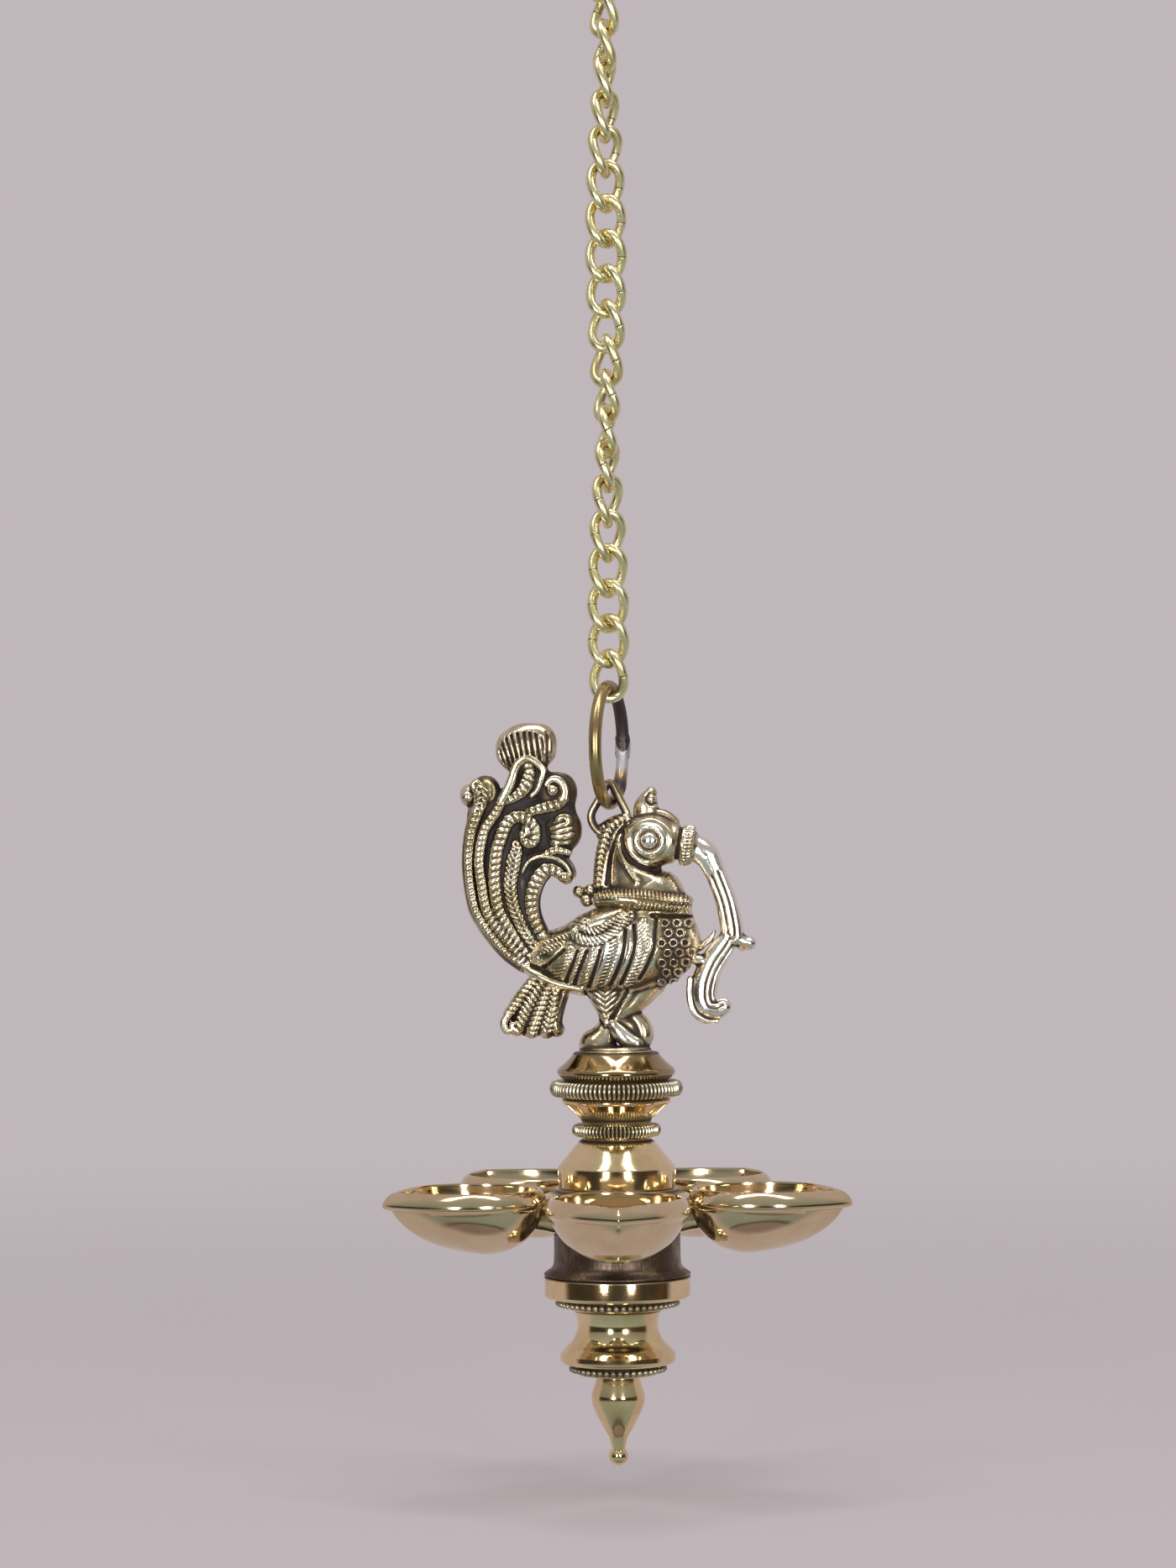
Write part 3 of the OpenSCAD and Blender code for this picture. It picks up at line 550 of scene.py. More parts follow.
class Casting:
    """Cells of the half behind the bird's middle plane; the front half mirrors them."""

    def __init__(self, across, back, up, cell, deep):
        self.cell, self.deep = cell, deep
        self.x = np.arange(*across, cell)
        self.y = (np.arange(int(back / cell) + 2) + 0.5) * cell
        self.z = np.arange(*up, cell)
        self.solid = np.full((len(self.x), len(self.y), len(self.z)), EMPTY)

    def flat(self):
        """The cells' places in the bird's plane."""
        return np.meshgrid(self.x, self.z, indexing="ij")

    def unite(self, part, ease, i=slice(None), k=slice(None)):
        """Joins a form to the solid with an eased corner."""
        now = self.solid[i, :, k]
        h = np.maximum(ease - np.abs(now - part), 0) / ease
        self.solid[i, :, k] = np.maximum(now, part) + h * h * ease / 4

    def along(self, controls, margin=1.6):
        """Way along, distance across, half width and depth of the nearest place on a line."""
        p = smooth_line(controls, RIB_CURVE)
        reach = p[:, 2].max() + margin
        i = slice(*np.searchsorted(self.x, [p[:, 0].min() - reach, p[:, 0].max() + reach]))
        k = slice(*np.searchsorted(self.z, [p[:, 1].min() - reach, p[:, 1].max() + reach]))
        gx, gz = np.meshgrid(self.x[i], self.z[k], indexing="ij")
        best = np.full(gx.shape, np.inf)
        s, u, w, d = (np.zeros(gx.shape) for _ in range(4))
        start = 0.0
        for a, b in zip(p[:-1], p[1:]):
            ex, ez = b[:2] - a[:2]
            size = math.hypot(ex, ez)
            if size < 1e-9:
                continue
            t = share(((gx - a[0]) * ex + (gz - a[1]) * ez) / size ** 2)
            ox, oz = gx - a[0] - t * ex, gz - a[1] - t * ez
            far = np.hypot(ox, oz)
            near = far < best
            best[near] = far[near]
            s[near] = (start + t * size)[near]
            u[near] = (np.sign(ex * oz - ez * ox) * far)[near]
            w[near] = (a[2] + t * (b[2] - a[2]))[near]
            d[near] = (a[3] + t * (b[3] - a[3]))[near]
            start += size
        return i, k, s, u, w, d

    def rib(self, controls, ease, ornament=None, bar=0):
        """A rib of oval section or a bar with a rounded crest; its ornament is cut into its faces.

        Each control is x, z, half width, and depth as a share of the block's.
        """
        i, k, s, u, w, d = self.along(controls)
        w = np.maximum(w, THIN)[:, None, :]
        d = np.maximum(d * self.deep, THIN)[:, None, :]
        v, y = u[:, None, :], self.y[None, :, None]
        if bar:
            crown = np.minimum(bar * w, d)
            part = w - np.hypot(v, np.maximum(y - d + crown, 0) * w / crown)
            face = share((y - d) / crown + 1.4)
        else:
            v, y = v / w, y / d
            rho = np.sqrt(v * v + y * y)
            part = (1 - rho) * rho / np.maximum(np.sqrt((v / w) ** 2 + (y / d) ** 2), 1e-6)
            face = share((y - 0.2) / 0.35)
        if ornament is not None:
            part = part + ornament(s, u)[:, None, :] * face * (0.8 * w / crown if bar else 1)
        self.unite(part, ease, i, k)

    def feather(self, line, half, deep, ease, ornament=None):
        """A flat bar along a line, with half widths and depths at even steps."""
        self.rib(widths(line, half, deep), ease, ornament, FLAT)

    def dome(self, x, z, half_x, half_z, deep, ease=0.5, power=2.2):
        """A pillow-shaped form."""
        gx, gz = self.flat()
        flat = np.abs((gx - x) / half_x) ** power + np.abs((gz - z) / half_z) ** power
        rho = (flat[:, None, :] + (self.y[None, :, None] / deep) ** power) ** (1 / power)
        self.unite((1 - rho) * min(half_x, half_z, deep), ease)

    def knob(self, x, z, y, radius, flat=1.0, ease=0.3):
        """A round knob on the face at depth y, and its twin behind."""
        gx, gz = self.flat()
        far = np.sqrt((gx - x)[:, None, :] ** 2 + (gz - z)[:, None, :] ** 2
                      + ((self.y[None, :, None] - y) / flat) ** 2)
        self.unite(radius - far, ease)

    def emboss(self, height, low=0.0, high=2.5):
        """Raises the faces by a height over the bird's plane."""
        self.solid += height[:, None, :] * share((self.y[None, :, None] - low) / (high - low))

    def skin(self):
        """Quads over the solid's surface, and how deep in a hollow each point lies."""
        cells = np.concatenate([self.solid[:, ::-1], self.solid], 1)
        cells = np.pad(cells, 1, constant_values=EMPTY)
        inside = cells > 0
        counts = [c - 1 for c in cells.shape]
        corners = [(a, b, c) for a in (0, 1) for b in (0, 1) for c in (0, 1)]
        held = np.zeros(counts, np.int8)
        for corner in corners:
            held += inside[tuple(slice(o, o + n) for o, n in zip(corner, counts))]
        at = np.argwhere((held > 0) & (held < len(corners)))
        index = np.full(counts, -1)
        index[tuple(at.T)] = np.arange(len(at))
        total, crossings = np.zeros((len(at), 3)), np.zeros(len(at))
        for corner in corners:
            for axis in range(3):
                if corner[axis]:
                    continue
                other = list(corner)
                other[axis] = 1
                here, there = cells[tuple((at + corner).T)], cells[tuple((at + other).T)]
                crossed = (here > 0) != (there > 0)
                t = np.where(crossed, here / np.where(crossed, here - there, 1), 0)
                place = np.array(corner) + t[:, None] * (np.array(other) - corner)
                total[crossed] += place[crossed]
                crossings += crossed
        points = (at + total / crossings[:, None] - 1) * self.cell
        faces = []
        for axis in range(3):
            b, c = (axis + 1) % 3, (axis + 2) % 3
            here, there = [slice(None)] * 3, [slice(None)] * 3
            here[axis], there[axis] = slice(0, -1), slice(1, None)
            first, second = inside[tuple(here)], inside[tuple(there)]
            for out in (True, False):
                edge = np.argwhere((first & ~second) if out else (~first & second))
                quad = []
                for db, dc in ((-1, -1), (0, -1), (0, 0), (-1, 0)):
                    spot = edge.copy()
                    spot[:, b] += db
                    spot[:, c] += dc
                    quad.append(index[tuple(spot.T)])
                faces.append(np.stack(quad if out else quad[::-1], 1))
        faces = np.concatenate(faces)
        edges = np.concatenate([faces[:, [j, (j + 1) % 4]] for j in range(4)])
        edges = np.unique(np.sort(edges, 1), axis=0)
        points += 0.5 * (neighbours_mean(points, edges) - points)
        normal = np.zeros_like(points)
        cross = np.cross(points[faces[:, 2]] - points[faces[:, 0]],
                         points[faces[:, 3]] - points[faces[:, 1]])
        for j in range(4):
            for axis in range(3):
                normal[:, axis] += np.bincount(faces[:, j], cross[:, axis], len(points))
        normal = unit(normal)
        hollow, eased = np.zeros(len(points)), points
        for step in range(1, HOLLOW_STEPS[-1] + 1):
            eased = neighbours_mean(eased, edges)
            if step in HOLLOW_STEPS:
                hollow += ((eased - points) * normal).sum(1) / self.cell
        return points + [self.x[0], -self.y[-1], self.z[0]], faces, hollow


def bird_piece(name, block, shine=0.0, darkening=None):
    """Skins a block of the casting and lays grime into its hollows; the body's block adds painted shade of
    its own.
    """
    points, faces, hollow = block.skin()
    grime = share(GRIME_LEAST + GRIME_IN_HOLLOW * hollow + (darkening(points) if darkening else 0))
    bright = np.full(len(points), shine) if np.isscalar(shine) else shine(points)
    piece(name, (in_bird(points), faces.tolist()), FINISH["casting"], "lamp", ["bird"],
          {"grime": grime, "shine": bright})


CELL, BODY_CELL, HEAD_CELL = 0.22, 0.235, 0.225
TAIL_DEEP, BODY_DEEP, STEM_DEEP = 4.8, 10.5, 3.5

FEATHER_1 = [[-35.9, 66], [-36.5, 64.5], [-37.4, 62], [-38.3, 59.4], [-38.75, 56.8], [-39.05, 54.2],
             [-39.2, 50.3], [-38.8, 45.2], [-37.5, 38.5], [-35, 33.8], [-31.6, 29.3], [-28.4, 25.9],
             [-24.6, 23.2]]
FEATHER_2 = [[-29.9, 67.1], [-31.2, 64.5], [-33, 62], [-34.6, 59.4], [-35.3, 56.8], [-35.8, 54.2],
             [-36.05, 50.3], [-35.5, 45.2], [-34.3, 38.5], [-32, 34.2], [-30.3, 32], [-28.2, 29.3],
             [-25.7, 25.9], [-23.6, 23.8]]
FEATHER_3 = [[-24.5, 58.6], [-24, 56.8], [-22.6, 55.7], [-21.2, 56.8], [-20.9, 58.8], [-21.5, 60.6],
             [-23.3, 62.4], [-25.8, 63.1], [-28.1, 61.8], [-29.5, 59.4], [-30.4, 56.8], [-31.3, 54.2],
             [-31.8, 50.3], [-32, 45.2], [-31, 38.5], [-29.4, 35], [-27.7, 32.2], [-25.9, 29.3],
             [-23.4, 26]]
FEATHER_4 = [[-26.2, 55.6], [-26, 54], [-26.7, 51.6], [-27.1, 49], [-27.7, 45.2], [-27.4, 41.3],
             [-26.8, 38.5], [-25.5, 35.4], [-24.1, 32.4], [-21.6, 28.4]]
FEATHER_5 = [[-12.8, 46.2], [-14.5, 47.8], [-16.4, 48.8], [-18.4, 48.7], [-20.2, 46.6], [-21.4, 44],
             [-22.1, 41.3], [-22.1, 38.4], [-21.3, 35.1], [-19.6, 31.4]]
ARCH = [[-24.5, 48], [-23.4, 50.3], [-21.6, 51.8], [-19, 52.4], [-16.5, 52.1], [-14.1, 51.1],
        [-12.5, 49.5], [-11.6, 47.5]]
LEAF_BAND = [[-29.9, 67.4], [-28.6, 69.7], [-27.2, 72.8], [-26.3, 75.6], [-25, 77.7], [-22.9, 78.6],
             [-20.6, 77.6], [-18.8, 75.6], [-19.2, 73.1], [-20.3, 70.2], [-21.9, 68.6]]
LEAF_LADDER = [[-28.3, 67.1], [-26.3, 68.3], [-24.5, 69.8], [-23.3, 71.6], [-22.7, 73.6], [-22.5, 75.3],
               [-22.9, 76.5]]
SCROLL = [[-22.7, 64.3], [-20, 65], [-17.5, 65.6], [-14.9, 66.4], [-13.1, 67.9], [-12.9, 70.2],
          [-14.2, 72.6], [-16.4, 73], [-17.8, 71.6]]
LOBE = [[-13.4, 61.6], [-13.8, 59.6], [-14.2, 57.8], [-15.2, 56]]
LEAFLET = [[-18.8, 52.8], [-15.7, 54], [-12.2, 53.4]]
TAIL_GROUND = [(FEATHER_1, 1.9), (FEATHER_2, 2.3), (FEATHER_3[6:], 2.4), (FEATHER_4, 2.4),
               (FEATHER_5[3:], 2.2), (LEAF_LADDER, 4), ([[-22, 58.5], [-24, 58]], 5.2),
               ([[-15, 66], [-14.2, 60], [-16, 54]], 4.4), ([[-25, 64], [-17.5, 65]], 3.6),
               ([[-30.5, 57], [-28.5, 49]], 3), ([[-36.4, 64.6], [-32.6, 66]], 2.6),
               ([[-22, 47.6], [-18, 50.4], [-13.6, 49]], 1.9), ([[-37, 65], [-37.2, 52]], 2.2),
               ([[-25, 52], [-24.8, 44], [-23.8, 35]], 2.4), ([[-29.6, 48], [-28.4, 36]], 2.2)]
PLUME_FLUTE = 1.55


def tail_casting():
    """Tail: a plate with feathers, leaf, scroll and lobe, and the plume above."""
    block = Casting((-43, -7), 5.8, (21, 89.5), CELL, TAIL_DEEP)
    # plate behind the feathers: broad low ribs under and between them
    for line, half in TAIL_GROUND:
        block.rib(widths(line, [half], [0.62]), 1.2)
    block.rib([[-24, 78, 4, 0.75], [-20.5, 72, 4.4, 0.75]], 0.8)
    # plume: flutes combed upwards under a plain rim
    block.dome(-21.6, 82, 6.3, 6.1, 4.7, 0.8, 2.5)
    block.dome(-26.2, 80.9, 5.5, 5.4, 4.6, 3.0, 2.3)
    gx, gz = block.flat()
    lean = 0.15 + 0.28 * share((-24 - gx) / 6)
    off = from_nearest(gx + lean * (gz - 82), PLUME_FLUTE)
    oval = np.abs((gx + 24.4) / 6.4) ** 2.4 + np.abs((gz - 80.9 - 0.1 * (gx + 24)) / 5.1) ** 2.4
    within = 1 - oval ** (1 / 2.4)
    block.emboss(-0.85 * fade(off, 0.4) * share(within / 0.12), 1.5, 3)
    block.emboss(-0.6 * fade(gx + 17.7, 0.45) * share((5 - np.abs(gz - 81)) / 1.5), 1.5, 3)
    # rounded ground of the club, the scroll, the lobe and the curl
    block.dome(-34.6, 69.5, 4.1, 4.6, 4.3)
    block.dome(-15.5, 69.4, 5.6, 5.6, 4.1)
    block.dome(-13.9, 59.4, 5.2, 5.7, 4.1)
    block.dome(-38.7, 68.8, 2.7, 3.0, 3.3)
    block.dome(-23, 59.2, 2.7, 4, 4.6)
    # feathers
    block.feather(FEATHER_1, [1.9, 1.7, 1.6, 1.6, 1.2], [0.82, 0.82, 0.82, 0.76, 0.6], 0.3)
    block.feather(np.array(FEATHER_1) + [0.25, 0], [1.6, 1.25, 1.1, 1.05, 0.85],
                  [1.0, 1.03, 1.0, 0.95, 0.74], 0.12, rungs(1.65, 0.55, 0.36, 0.2))
    block.feather(FEATHER_2, [1.2, 1.3, 1.3, 1.35, 1.05], [1.0, 1.02, 1.0, 0.95, 0.72], 0.12,
                  rungs(1.5, 0.6, 0.32, 0.25))
    block.feather(FEATHER_3, [0.8, 1.4, 1.6, 1.75, 1.7, 1.6, 1.1],
                  [0.95, 1.04, 1.02, 1.0, 1.0, 0.95, 0.72], 0.12, rungs(1.75, 0.6, 0.34, 0.3))
    block.feather(FEATHER_4, [1.3, 2.0, 1.85, 1.7, 1.6, 1.3], [0.9, 1.0, 1.0, 0.98, 0.92, 0.75], 0.12,
                  braid(1.5, 0.55))
    block.feather(FEATHER_5, [1.3, 1.8, 1.95, 1.8, 1.4], [0.9, 1.0, 1.02, 0.95, 0.72], 0.12,
                  rungs(1.75, 0.6, 0.34, 0.15))
    block.feather(ARCH, [1.2, 1.5, 1.6, 1.6, 1.3], [0.6, 0.62, 0.62, 0.62, 0.6], 0.3)
    block.rib(widths(ARCH, [0.4, 0.55, 0.6, 0.6, 0.5], [0.8, 0.92, 0.96, 0.94, 0.85]), 0.12, bar=ROUND)
    block.knob(-13.4, 46.9, 3.2, 1.6)
    # club end of the outer feather: a broad lobe of dots beside a small round one
    block.rib([[-36.4, 64.6, 1.5, 1.0], [-35.5, 67.1, 2.0, 1.04], [-35.4, 69.6, 2.2, 1.06],
               [-36.6, 71.5, 1.7, 1.0]], 0.1, braid(1.55, 0.5), FLAT)
    block.knob(-39.2, 68.4, 2.6, 1.9)
    # leaf: a raised band round a ladder of rungs
    block.feather(LEAF_BAND, [1.1, 1.2, 1.1, 0.9, 0.75, 0.6], [0.98, 1.04, 1.06, 1.04, 1.0, 0.85], 0.12)
    block.feather(LEAF_LADDER, [0.8, 1.5, 1.8, 1.8, 1.5], [0.96, 1.0, 1.03, 1.03, 0.96], 0.1,
                  rungs(1.6, 0.65, 0.34, -0.2))
    # scroll round its ball, lobe with slanted rungs and a small leaf
    block.feather(SCROLL[:5], [1.1, 1.5, 1.6, 1.3], [0.92, 1.0, 1.04, 1.05], 0.1,
                  rungs(1.75, 0.6, 0.34, 0.1))
    block.feather(SCROLL[4:], [1.2, 1.0, 0.9, 0.7], [1.05, 1.05, 1.04, 1.0], 0.1)
    block.knob(-16.2, 70, 4.0, 1.6)
    block.feather(LOBE, [2.5, 3.4, 3.3, 2.2], [0.98, 1.04, 1.02, 0.92], 0.12, rungs(1.7, 0.62, 0.36, 0.48))
    block.feather(LEAFLET, [0.7, 1.1, 0.8], [0.9, 1.0, 0.92], 0.12, rungs(1.5, 0.4, 0.28))
    return block


def tail_dirt(points):
    """Black ground between the feathers, apart from the club."""
    x, y, z = points.T
    club = share((-35.6 - x) / 1.0) * share((z - 63) / 2)
    return 0.5 * share((3.5 - np.abs(y)) / 0.6) * share((76 - z) / 2) * (1 - club)


UNDER_FEATHERS = [([[-20.8, 20.4, 1.4], [-22.6, 18.2, 1.6], [-25.6, 14.4, 1.6], [-28.6, 10.2, 1.4]],
                   rungs(1.45, 0.6, 0.3, 0.45)),
                  ([[-19.2, 19.4, 1.3], [-20.9, 16.8, 1.6], [-23.8, 11.4, 1.7], [-26.2, 5.9, 1.6]],
                   rungs(1.45, 0.6, 0.3, -0.35)),
                  ([[-17.5, 18, 1.2], [-18.7, 15, 1.6], [-20.6, 9.8, 1.75], [-22.4, 5.4, 1.75]],
                   rungs(1.45, 0.6, 0.3, 0.35)),
                  ([[-15.8, 16.6, 1.3], [-16.5, 13, 1.7], [-17.6, 8, 2.1], [-18.4, 5.7, 2.1]],
                   rungs(1.5, 0.6, 0.3, 0, 0.5))]
UNDER_DEEP = [0.85, 0.98, 1.0, 0.95]


def under_tail_casting():
    """Feathers with rungs and a curl below the tail."""
    block = Casting((-33, -10), 5.6, (1, 25), CELL, TAIL_DEEP)
    block.rib([[-17.8, 19.6, 3.6, 0.6], [-20.3, 14, 4.6, 0.72], [-22.6, 9.6, 5.6, 0.72]], 0.6)
    block.rib([[-14, 15.6, 1.6, 0.6], [-15.3, 11, 1.5, 0.8], [-16, 8, 1.7, 0.88], [-15.7, 6, 2, 0.85]], 0.5)
    for line, ornament in UNDER_FEATHERS:
        block.rib(np.column_stack([line, UNDER_DEEP]), 0.12, ornament, ROUND)
    block.rib([[-28.5, 10, 1.0, 0.95], [-29.7, 8.3, 1.1, 0.98], [-29.2, 6.2, 1.15, 0.95],
               [-27.7, 6, 0.9, 0.95], [-27.4, 7.6, 0.8, 0.95]], 0.12, bar=ROUND)
    return block


NECK = [[4, 56, 5.8, 0.56], [3.9, 50.5, 5.6, 0.58], [4.6, 46.5, 6.6, 0.66], [6, 43.5, 8.6, 0.76],
        [7.8, 40.6, 11, 0.84], [8.6, 36.4, 9.4, 0.72], [9, 33, 7, 0.58]]
WING_ROPE = [[-9.1, 35.7], [-10.6, 33.9], [-10.3, 31.6], [-8.4, 30.4], [-5.3, 30.1], [-2.1, 31],
             [1, 33.5], [4.8, 36.7]]
WING_ROPE_INNER = [[-7.5, 35.4], [-8.4, 34.2], [-7.5, 32.9], [-4.6, 32.6], [-2.1, 33.9], [1, 36.1],
                   [4.8, 37.9]]
WING_LINES = [[[-13.2, 27.5], [-16, 25], [-18.8, 22.8]], [[-9.6, 27.2], [-11.3, 22.8], [-13.2, 18.4]],
              [[-7, 27.2], [-9.1, 22.2], [-11.1, 17.4]], [[-3.4, 27.4], [-5, 22.2], [-6.9, 17.6]],
              [[3.3, 32.6], [2.9, 27.9], [1.4, 22.8], [-1.2, 18]],
              [[5.6, 34], [5.8, 29.1], [4.5, 24.1], [1.7, 18.4]],
              [[11.5, 36.1], [11.1, 31.6], [10.8, 27.9], [8.6, 22.8], [6.7, 19.8]]]
WING_STRIPS = [([[-11.6, 27.6], [-14.1, 23.4], [-16.2, 19.6]], 1.5),
               ([[-8.3, 27.4], [-10.3, 22.2], [-12.2, 17.6]], 0.8),
               ([[-5.2, 27.4], [-7.2, 22.2], [-9.1, 17]], 1.2),
               ([[0.7, 31], [-0.5, 24.7], [-3.4, 17.8]], 1.2),
               ([[8, 35], [8, 28.5], [6.4, 23.4], [3.6, 18.4]], 1.4),
               ([[-19.6, 29.4], [-15, 31], [-12, 31.8]], 0.8),
               ([[-20, 27], [-16.4, 28.6], [-13.4, 29.4]], 0.8),
               ([[-21, 25.4], [-18, 23.6], [-16.4, 22]], 0.8)]
WING_RIDGES = [[[-1.6, 29.6], [-2.6, 24.6], [-5, 17.8]], [[2, 31.4], [1, 25.4], [-2.2, 18]],
               [[4.5, 33], [4.4, 27], [0.6, 18.4]]]
WING_EDGE = [[-25.5, 22.6], [-20.9, 19.3], [-15.3, 16.9], [-8.6, 15.4], [-0.7, 15.2], [6.5, 16.6],
             [12, 18.8]]
BREAST_LOW, BREAST_TOP, BREAST_ROW = 18.8, 35, 2.65
BREAST_STEP, BREAST_SHIFT = 3.05, 1.52
BIRD_EYE, BEAK = (9.6, 56.5), (19.5, 55)
# degrees between the cords of the beak's collar
BEAK_CORD = 11


def line_distance(block, line):
    """Way along and signed distance across a line, over the whole plane of a block."""
    i, k, s, u, _, _ = block.along(widths(line, [1.0], [1.0]), margin=4.0)
    gx, _ = block.flat()
    way, across = np.zeros(gx.shape), np.full(gx.shape, FAR_OFF)
    way[i, k], across[i, k] = s, u
    return way, across


def rope(block, line, half, height, period, slant=0.7, cut=0.4, low=0.0, high=2.5):
    """A raised twisted cord or hatched strip on a face."""
    s, u = line_distance(block, line)
    rise = np.sqrt(np.maximum(0, 1 - (u / half) ** 2))
    strand = fade(from_nearest(s + slant * u, period), 0.24 * period)
    block.emboss(height * rise - cut * strand * share(rise * 2), low, high)


def ridge(block, line, height, half):
    """A raised line on a face."""
    _, u = line_distance(block, line)
    block.emboss(height * fade(u, half))


def score(block, line, depth, half):
    """A groove on a face."""
    ridge(block, line, -depth, half)


def body_casting():
    """Body: wing, breast, legs, feet and plinth."""
    block = Casting((-27, 26), 11.6, (-0.5, 43), BODY_CELL, BODY_DEEP)
    block.rib([[-24, 24.5, 1.1, 0.2], [-17.5, 26, 6.6, 0.6], [-9, 25, 9.5, 0.85], [0.5, 26.5, 11, 1],
               [10.5, 28.6, 11.2, 1], [17, 28.8, 9.8, 0.88], [20.6, 28.4, 6.4, 0.62],
               [22.8, 28, 1.1, 0.2]], 1)
    block.rib([[12, 37, 5, 0.7], [17.4, 36.4, 3.4, 0.5]], 1)
    block.rib([[9, 34, 8.6, 0.86], [7.5, 39, 8.6, 0.76]], 1.5)
    block.rib([[-15, 30, 2.2, 0.5], [-9.6, 32.6, 3.3, 0.68], [-4, 34.6, 4.2, 0.8], [2, 36, 5, 0.86]], 1.2)
    # wing: cords, hatched strips, grooves, smooth ridges and a ridge along its lower edge
    rope(block, WING_ROPE, 1.4, 0.8, 1.2)
    rope(block, WING_ROPE_INNER, 1.0, 0.6, 1.15)
    for line, half in WING_STRIPS:
        rope(block, line, half, 0.3, 1.1, 0.8, 0.36)
    for line in WING_RIDGES:
        ridge(block, line, 0.5, 0.75)
    for line in WING_LINES:
        score(block, line, 1.0, 0.42)
    _, u = line_distance(block, WING_EDGE)
    block.emboss(0.8 * fade(u, 0.8) - 0.7 * fade(u + 1.7, 0.6))
    block.rib([[-25, 23.3, 1, 0.25], [-20.9, 20.9, 1.9, 0.5], [-15.3, 18.5, 2, 0.58],
               [-8.6, 17, 2, 0.62]], 0.5)
    # breast: a field of small rings below the necklace
    gx, gz = block.flat()
    rings = np.zeros(gx.shape)
    for row, z in enumerate(np.arange(BREAST_LOW, BREAST_TOP, BREAST_ROW)):
        left = np.interp(z, [17.7, 20, 24, 31, 35.4], [13, 12.2, 13, 13, 14])
        right = np.interp(z, [17.7, 21.2, 26.6, 35.4], [18.6, 20.6, 22, 19.8])
        for x in np.arange(left + (row % 2) * BREAST_SHIFT, right, BREAST_STEP):
            rings = np.maximum(rings, fade(np.hypot(gx - x, gz - z) - 0.95, 0.28))
    block.emboss(0.8 * rings)
    score(block, [[10.4, 36.6], [15, 36.4], [21, 36.2]], 1.0, 0.5)
    # thigh with its hatched triangle, two legs, feet and plinth
    block.rib([[-2.5, 20.5, 6.1, 0.62], [-2.5, 15, 5, 0.5], [-2.3, 10.5, 2.7, 0.38],
               [-2.2, 7.6, 2.1, 0.34]], 0.6, rungs(1.5, 0.34, 0.32, 0, 0.8))
    block.rib([[-2.2, 8, 2, 0.34], [-3, 5.2, 3.4, 0.42], [-4.2, 2.6, 5.2, 0.55], [-4.4, 1.2, 5.5, 0.58]],
              0.5)
    block.rib([[4, 17, 4, 0.45], [1.6, 12.4, 3.2, 0.38], [0.4, 9, 2.4, 0.34], [3.6, 6.6, 3, 0.3],
               [5, 3.6, 3, 0.3]], 0.5)
    score(block, [[-8, 16.6], [-5.6, 11.6], [-2.7, 6.6]], 0.7, 0.4)
    score(block, [[3.4, 16.4], [0.6, 11.6], [-1.8, 6.8]], 0.9, 0.45)
    block.rib([[9, 18.5, 4.5, 0.5], [5.5, 13.5, 3.1, 0.38], [1.8, 9.8, 2.3, 0.34]], 0.6)
    block.rib([[3.5, 10.5, 1.7, 0.22], [6.2, 8, 2.5, 0.29], [7.4, 4.8, 2.8, 0.32], [6.4, 2.2, 2.6, 0.3]],
              0.3)
    block.rib([[-0.4, 7.4, 1.7, 0.4], [1.2, 5.4, 2.3, 0.46], [3.4, 3.4, 2.4, 0.47],
               [5.4, 2.4, 2.2, 0.45]], 0.2, bar=ROUND)
    far = np.sqrt(gx[:, None, :] ** 2 + block.y[None, :, None] ** 2)
    high = gz[:, None, :]
    block.unite(np.minimum(10 - 0.8 * np.maximum(high, 0) - far, 1.5 - high), 0.5)
    block.solid = np.minimum(block.solid, high - 0.05)
    return block


def patch(points, middle, half):
    """1 at a place of the bird's plane, falling away over about a half width each way."""
    x, _, z = points.T
    return np.exp(-((x - middle[0]) / half[0]) ** 2 - ((z - middle[1]) / half[1]) ** 2)


def body_painted_shade(points):
    """Painted shadow at the foot of the plinth, where it sits on the dome, and painted shade behind the front
    foot; less grime on the wing.
    """
    # painted shadow along the foot of the plinth, painted shade behind the front foot
    plinth = fade(points[:, 2] - 0.4, 1.0)
    shade_behind_foot = patch(points, (7.6, 6), (2, 3))
    return 0.5 * plinth + 0.3 * shade_behind_foot - 0.13 * patch(points, (0.5, 27), (8, 8))


def body_shine(points):
    """The wing and the front foot are rubbed brightest."""
    wing, foot = patch(points, (1, 26.5), (8, 8)), patch(points, (3, 5), (3, 3))
    return share(0.9 * wing + foot)


